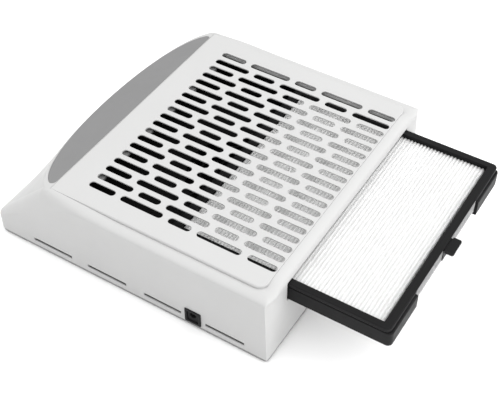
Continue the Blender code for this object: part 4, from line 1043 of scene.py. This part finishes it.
def screws():
    """Each CAD screw again, with a domed head and a cross recess."""
    for name in sorted(frame["nodes"]):
        if "_screw_" not in name:
            continue
        low, high = box_of(name)
        centre = ((low.x + high.x) / 2, (low.y + high.y) / 2)
        head_down = name.startswith("case")
        head, tip = (low.z, high.z) if head_down else (high.z, low.z)
        inwards = 1 if head_down else -1
        dome = [(r * 0.0024, head + inwards * 0.0004 * r**2) for r in (0, 0.3, 0.6, 0.85, 0.97)]
        seat = head + inwards * 0.0007
        profile = dome + [(0.0024, head + inwards * 0.0005), (0.0024, seat), (0.0012, seat)]
        turns = int(abs(tip - seat) / 0.0008)
        for k in range(turns):
            z = seat + inwards * (0.0003 + 0.0008 * k)
            profile += [(0.0010, z), (0.0012, z + inwards * 0.0003)]
        profile += [(0.0010, tip - inwards * 0.0008), (0, tip)]
        bm = bmesh.new()
        turned(bm, profile, centre, 24)
        arms = []
        for across, along in ((0.0013, 0.00028), (0.00028, 0.0013)):
            reach = sorted((head - inwards * 0.0002, head + inwards * 0.00055))
            corner = (centre[0] - across, centre[1] - along, reach[0])
            arms.append(box_tool(corner, (centre[0] + across, centre[1] + along, reach[1])))
        piece(name + "_turned", cut(bm, arms), "housing", "steel", (name,), 40)


# ---------------------------------------------------------------- the frame's own nodes


CARRIED = {  # node: material
    # The base plate's darker grey is partly painted shade, for the shadow gap under the casing.
    "base_plate": "base_plastic", "fan_deck": "inner_plastic", "fan_guard": "inner_plastic",
    "guide_rail_near": "inner_plastic", "guide_rail_far": "inner_plastic", "impeller": "inner_plastic",
    "motor_mount": "aluminium", "motor_stator": "copper_winding", "bearing_lower": "steel",
    "bearing_upper": "steel", "control_board": "circuit_board", "rotor_cup": "steel",
    "magnet_ring": "magnet", "shaft": "steel", "shaft_clip": "steel",
    "jack_lead": "lead", "motor_lead": "lead", "switch_lead": "lead",
}


def dress_nodes():
    for name, look in CARRIED.items():
        carried = frame["nodes"][name]
        carried.data.materials.clear()
        carried.data.materials.append(MATERIALS[look])


# ---------------------------------------------------------------- studio


def studio():
    floor_mesh = bpy.data.meshes.new("floor")
    reach = 6.0
    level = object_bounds()[0][2]
    corners = [(-reach, -reach, level), (reach, -reach, level), (reach, reach, level), (-reach, reach, level)]
    floor_mesh.from_pydata(corners, [], [(0, 1, 2, 3)])
    floor_mesh.materials.append(floor_material())
    floor = bpy.data.objects.new("floor", floor_mesh)
    bpy.context.scene.collection.objects.link(floor)
    floor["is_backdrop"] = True

    world = bpy.data.worlds.new("studio")
    bpy.context.scene.world = world
    world.use_nodes = True
    tree = world.node_tree
    tree.nodes.clear()
    direction = node(tree, "TexCoord").outputs["Generated"]
    height = node(tree, "SeparateXYZ", None, Vector=direction).outputs["Z"]
    glow = node(tree, "MapRange", None, Value=height, From_Min=0.0, From_Max=1.0, To_Min=0.50, To_Max=1.62)
    background = node(tree, "Background", None, Color=(1, 1, 1, 1), Strength=glow.outputs["Result"])
    output = node(tree, "OutputWorld")
    tree.links.new(background.outputs[0], output.inputs["Surface"])

    area_light("key", (0.60, 0.50, 1.05), 1.2, 8.0)
    area_light("front_fill", (-0.9, -0.45, 0.7), 0.7, 3.0)
    area_light("back_fill", (1.2, -0.15, 0.45), 0.8, 6.5)


def area_light(name, place, size, power):
    light = bpy.data.lights.new(name, "AREA")
    light.shape = "DISK"
    light.size = size
    light.energy = power
    lamp = bpy.data.objects.new(name, light)
    bpy.context.scene.collection.objects.link(lamp)
    lamp.location = place
    aim = Vector((0, 0, 0.04)) - Vector(place)
    lamp.rotation_euler = aim.to_track_quat("-Z", "Y").to_euler()


def camera():
    """Above the near back corner, looking down across the deck towards the front lip."""
    data = bpy.data.cameras.new("camera")
    data.sensor_width = 36
    data.lens = 74.64
    made = bpy.data.objects.new("camera", data)
    bpy.context.scene.collection.objects.link(made)
    made.location = Vector((0.48684, -0.51486, 0.63732)) + ORIGIN
    made.rotation_euler = (math.radians(90 - 45.778), 0, math.radians(31.796))
    bpy.context.scene.camera = made


# ---------------------------------------------------------------- everything


upper_casing()
deck_panel()
trim_panel()
filter_rim()
filter_tray()
filter_media()
jack_bezel()
dc_jack()
switch_body()
power_rocker()
feet()
screws()
dress_nodes()
studio()
camera()
bpy.context.scene.view_settings.view_transform = "Standard"
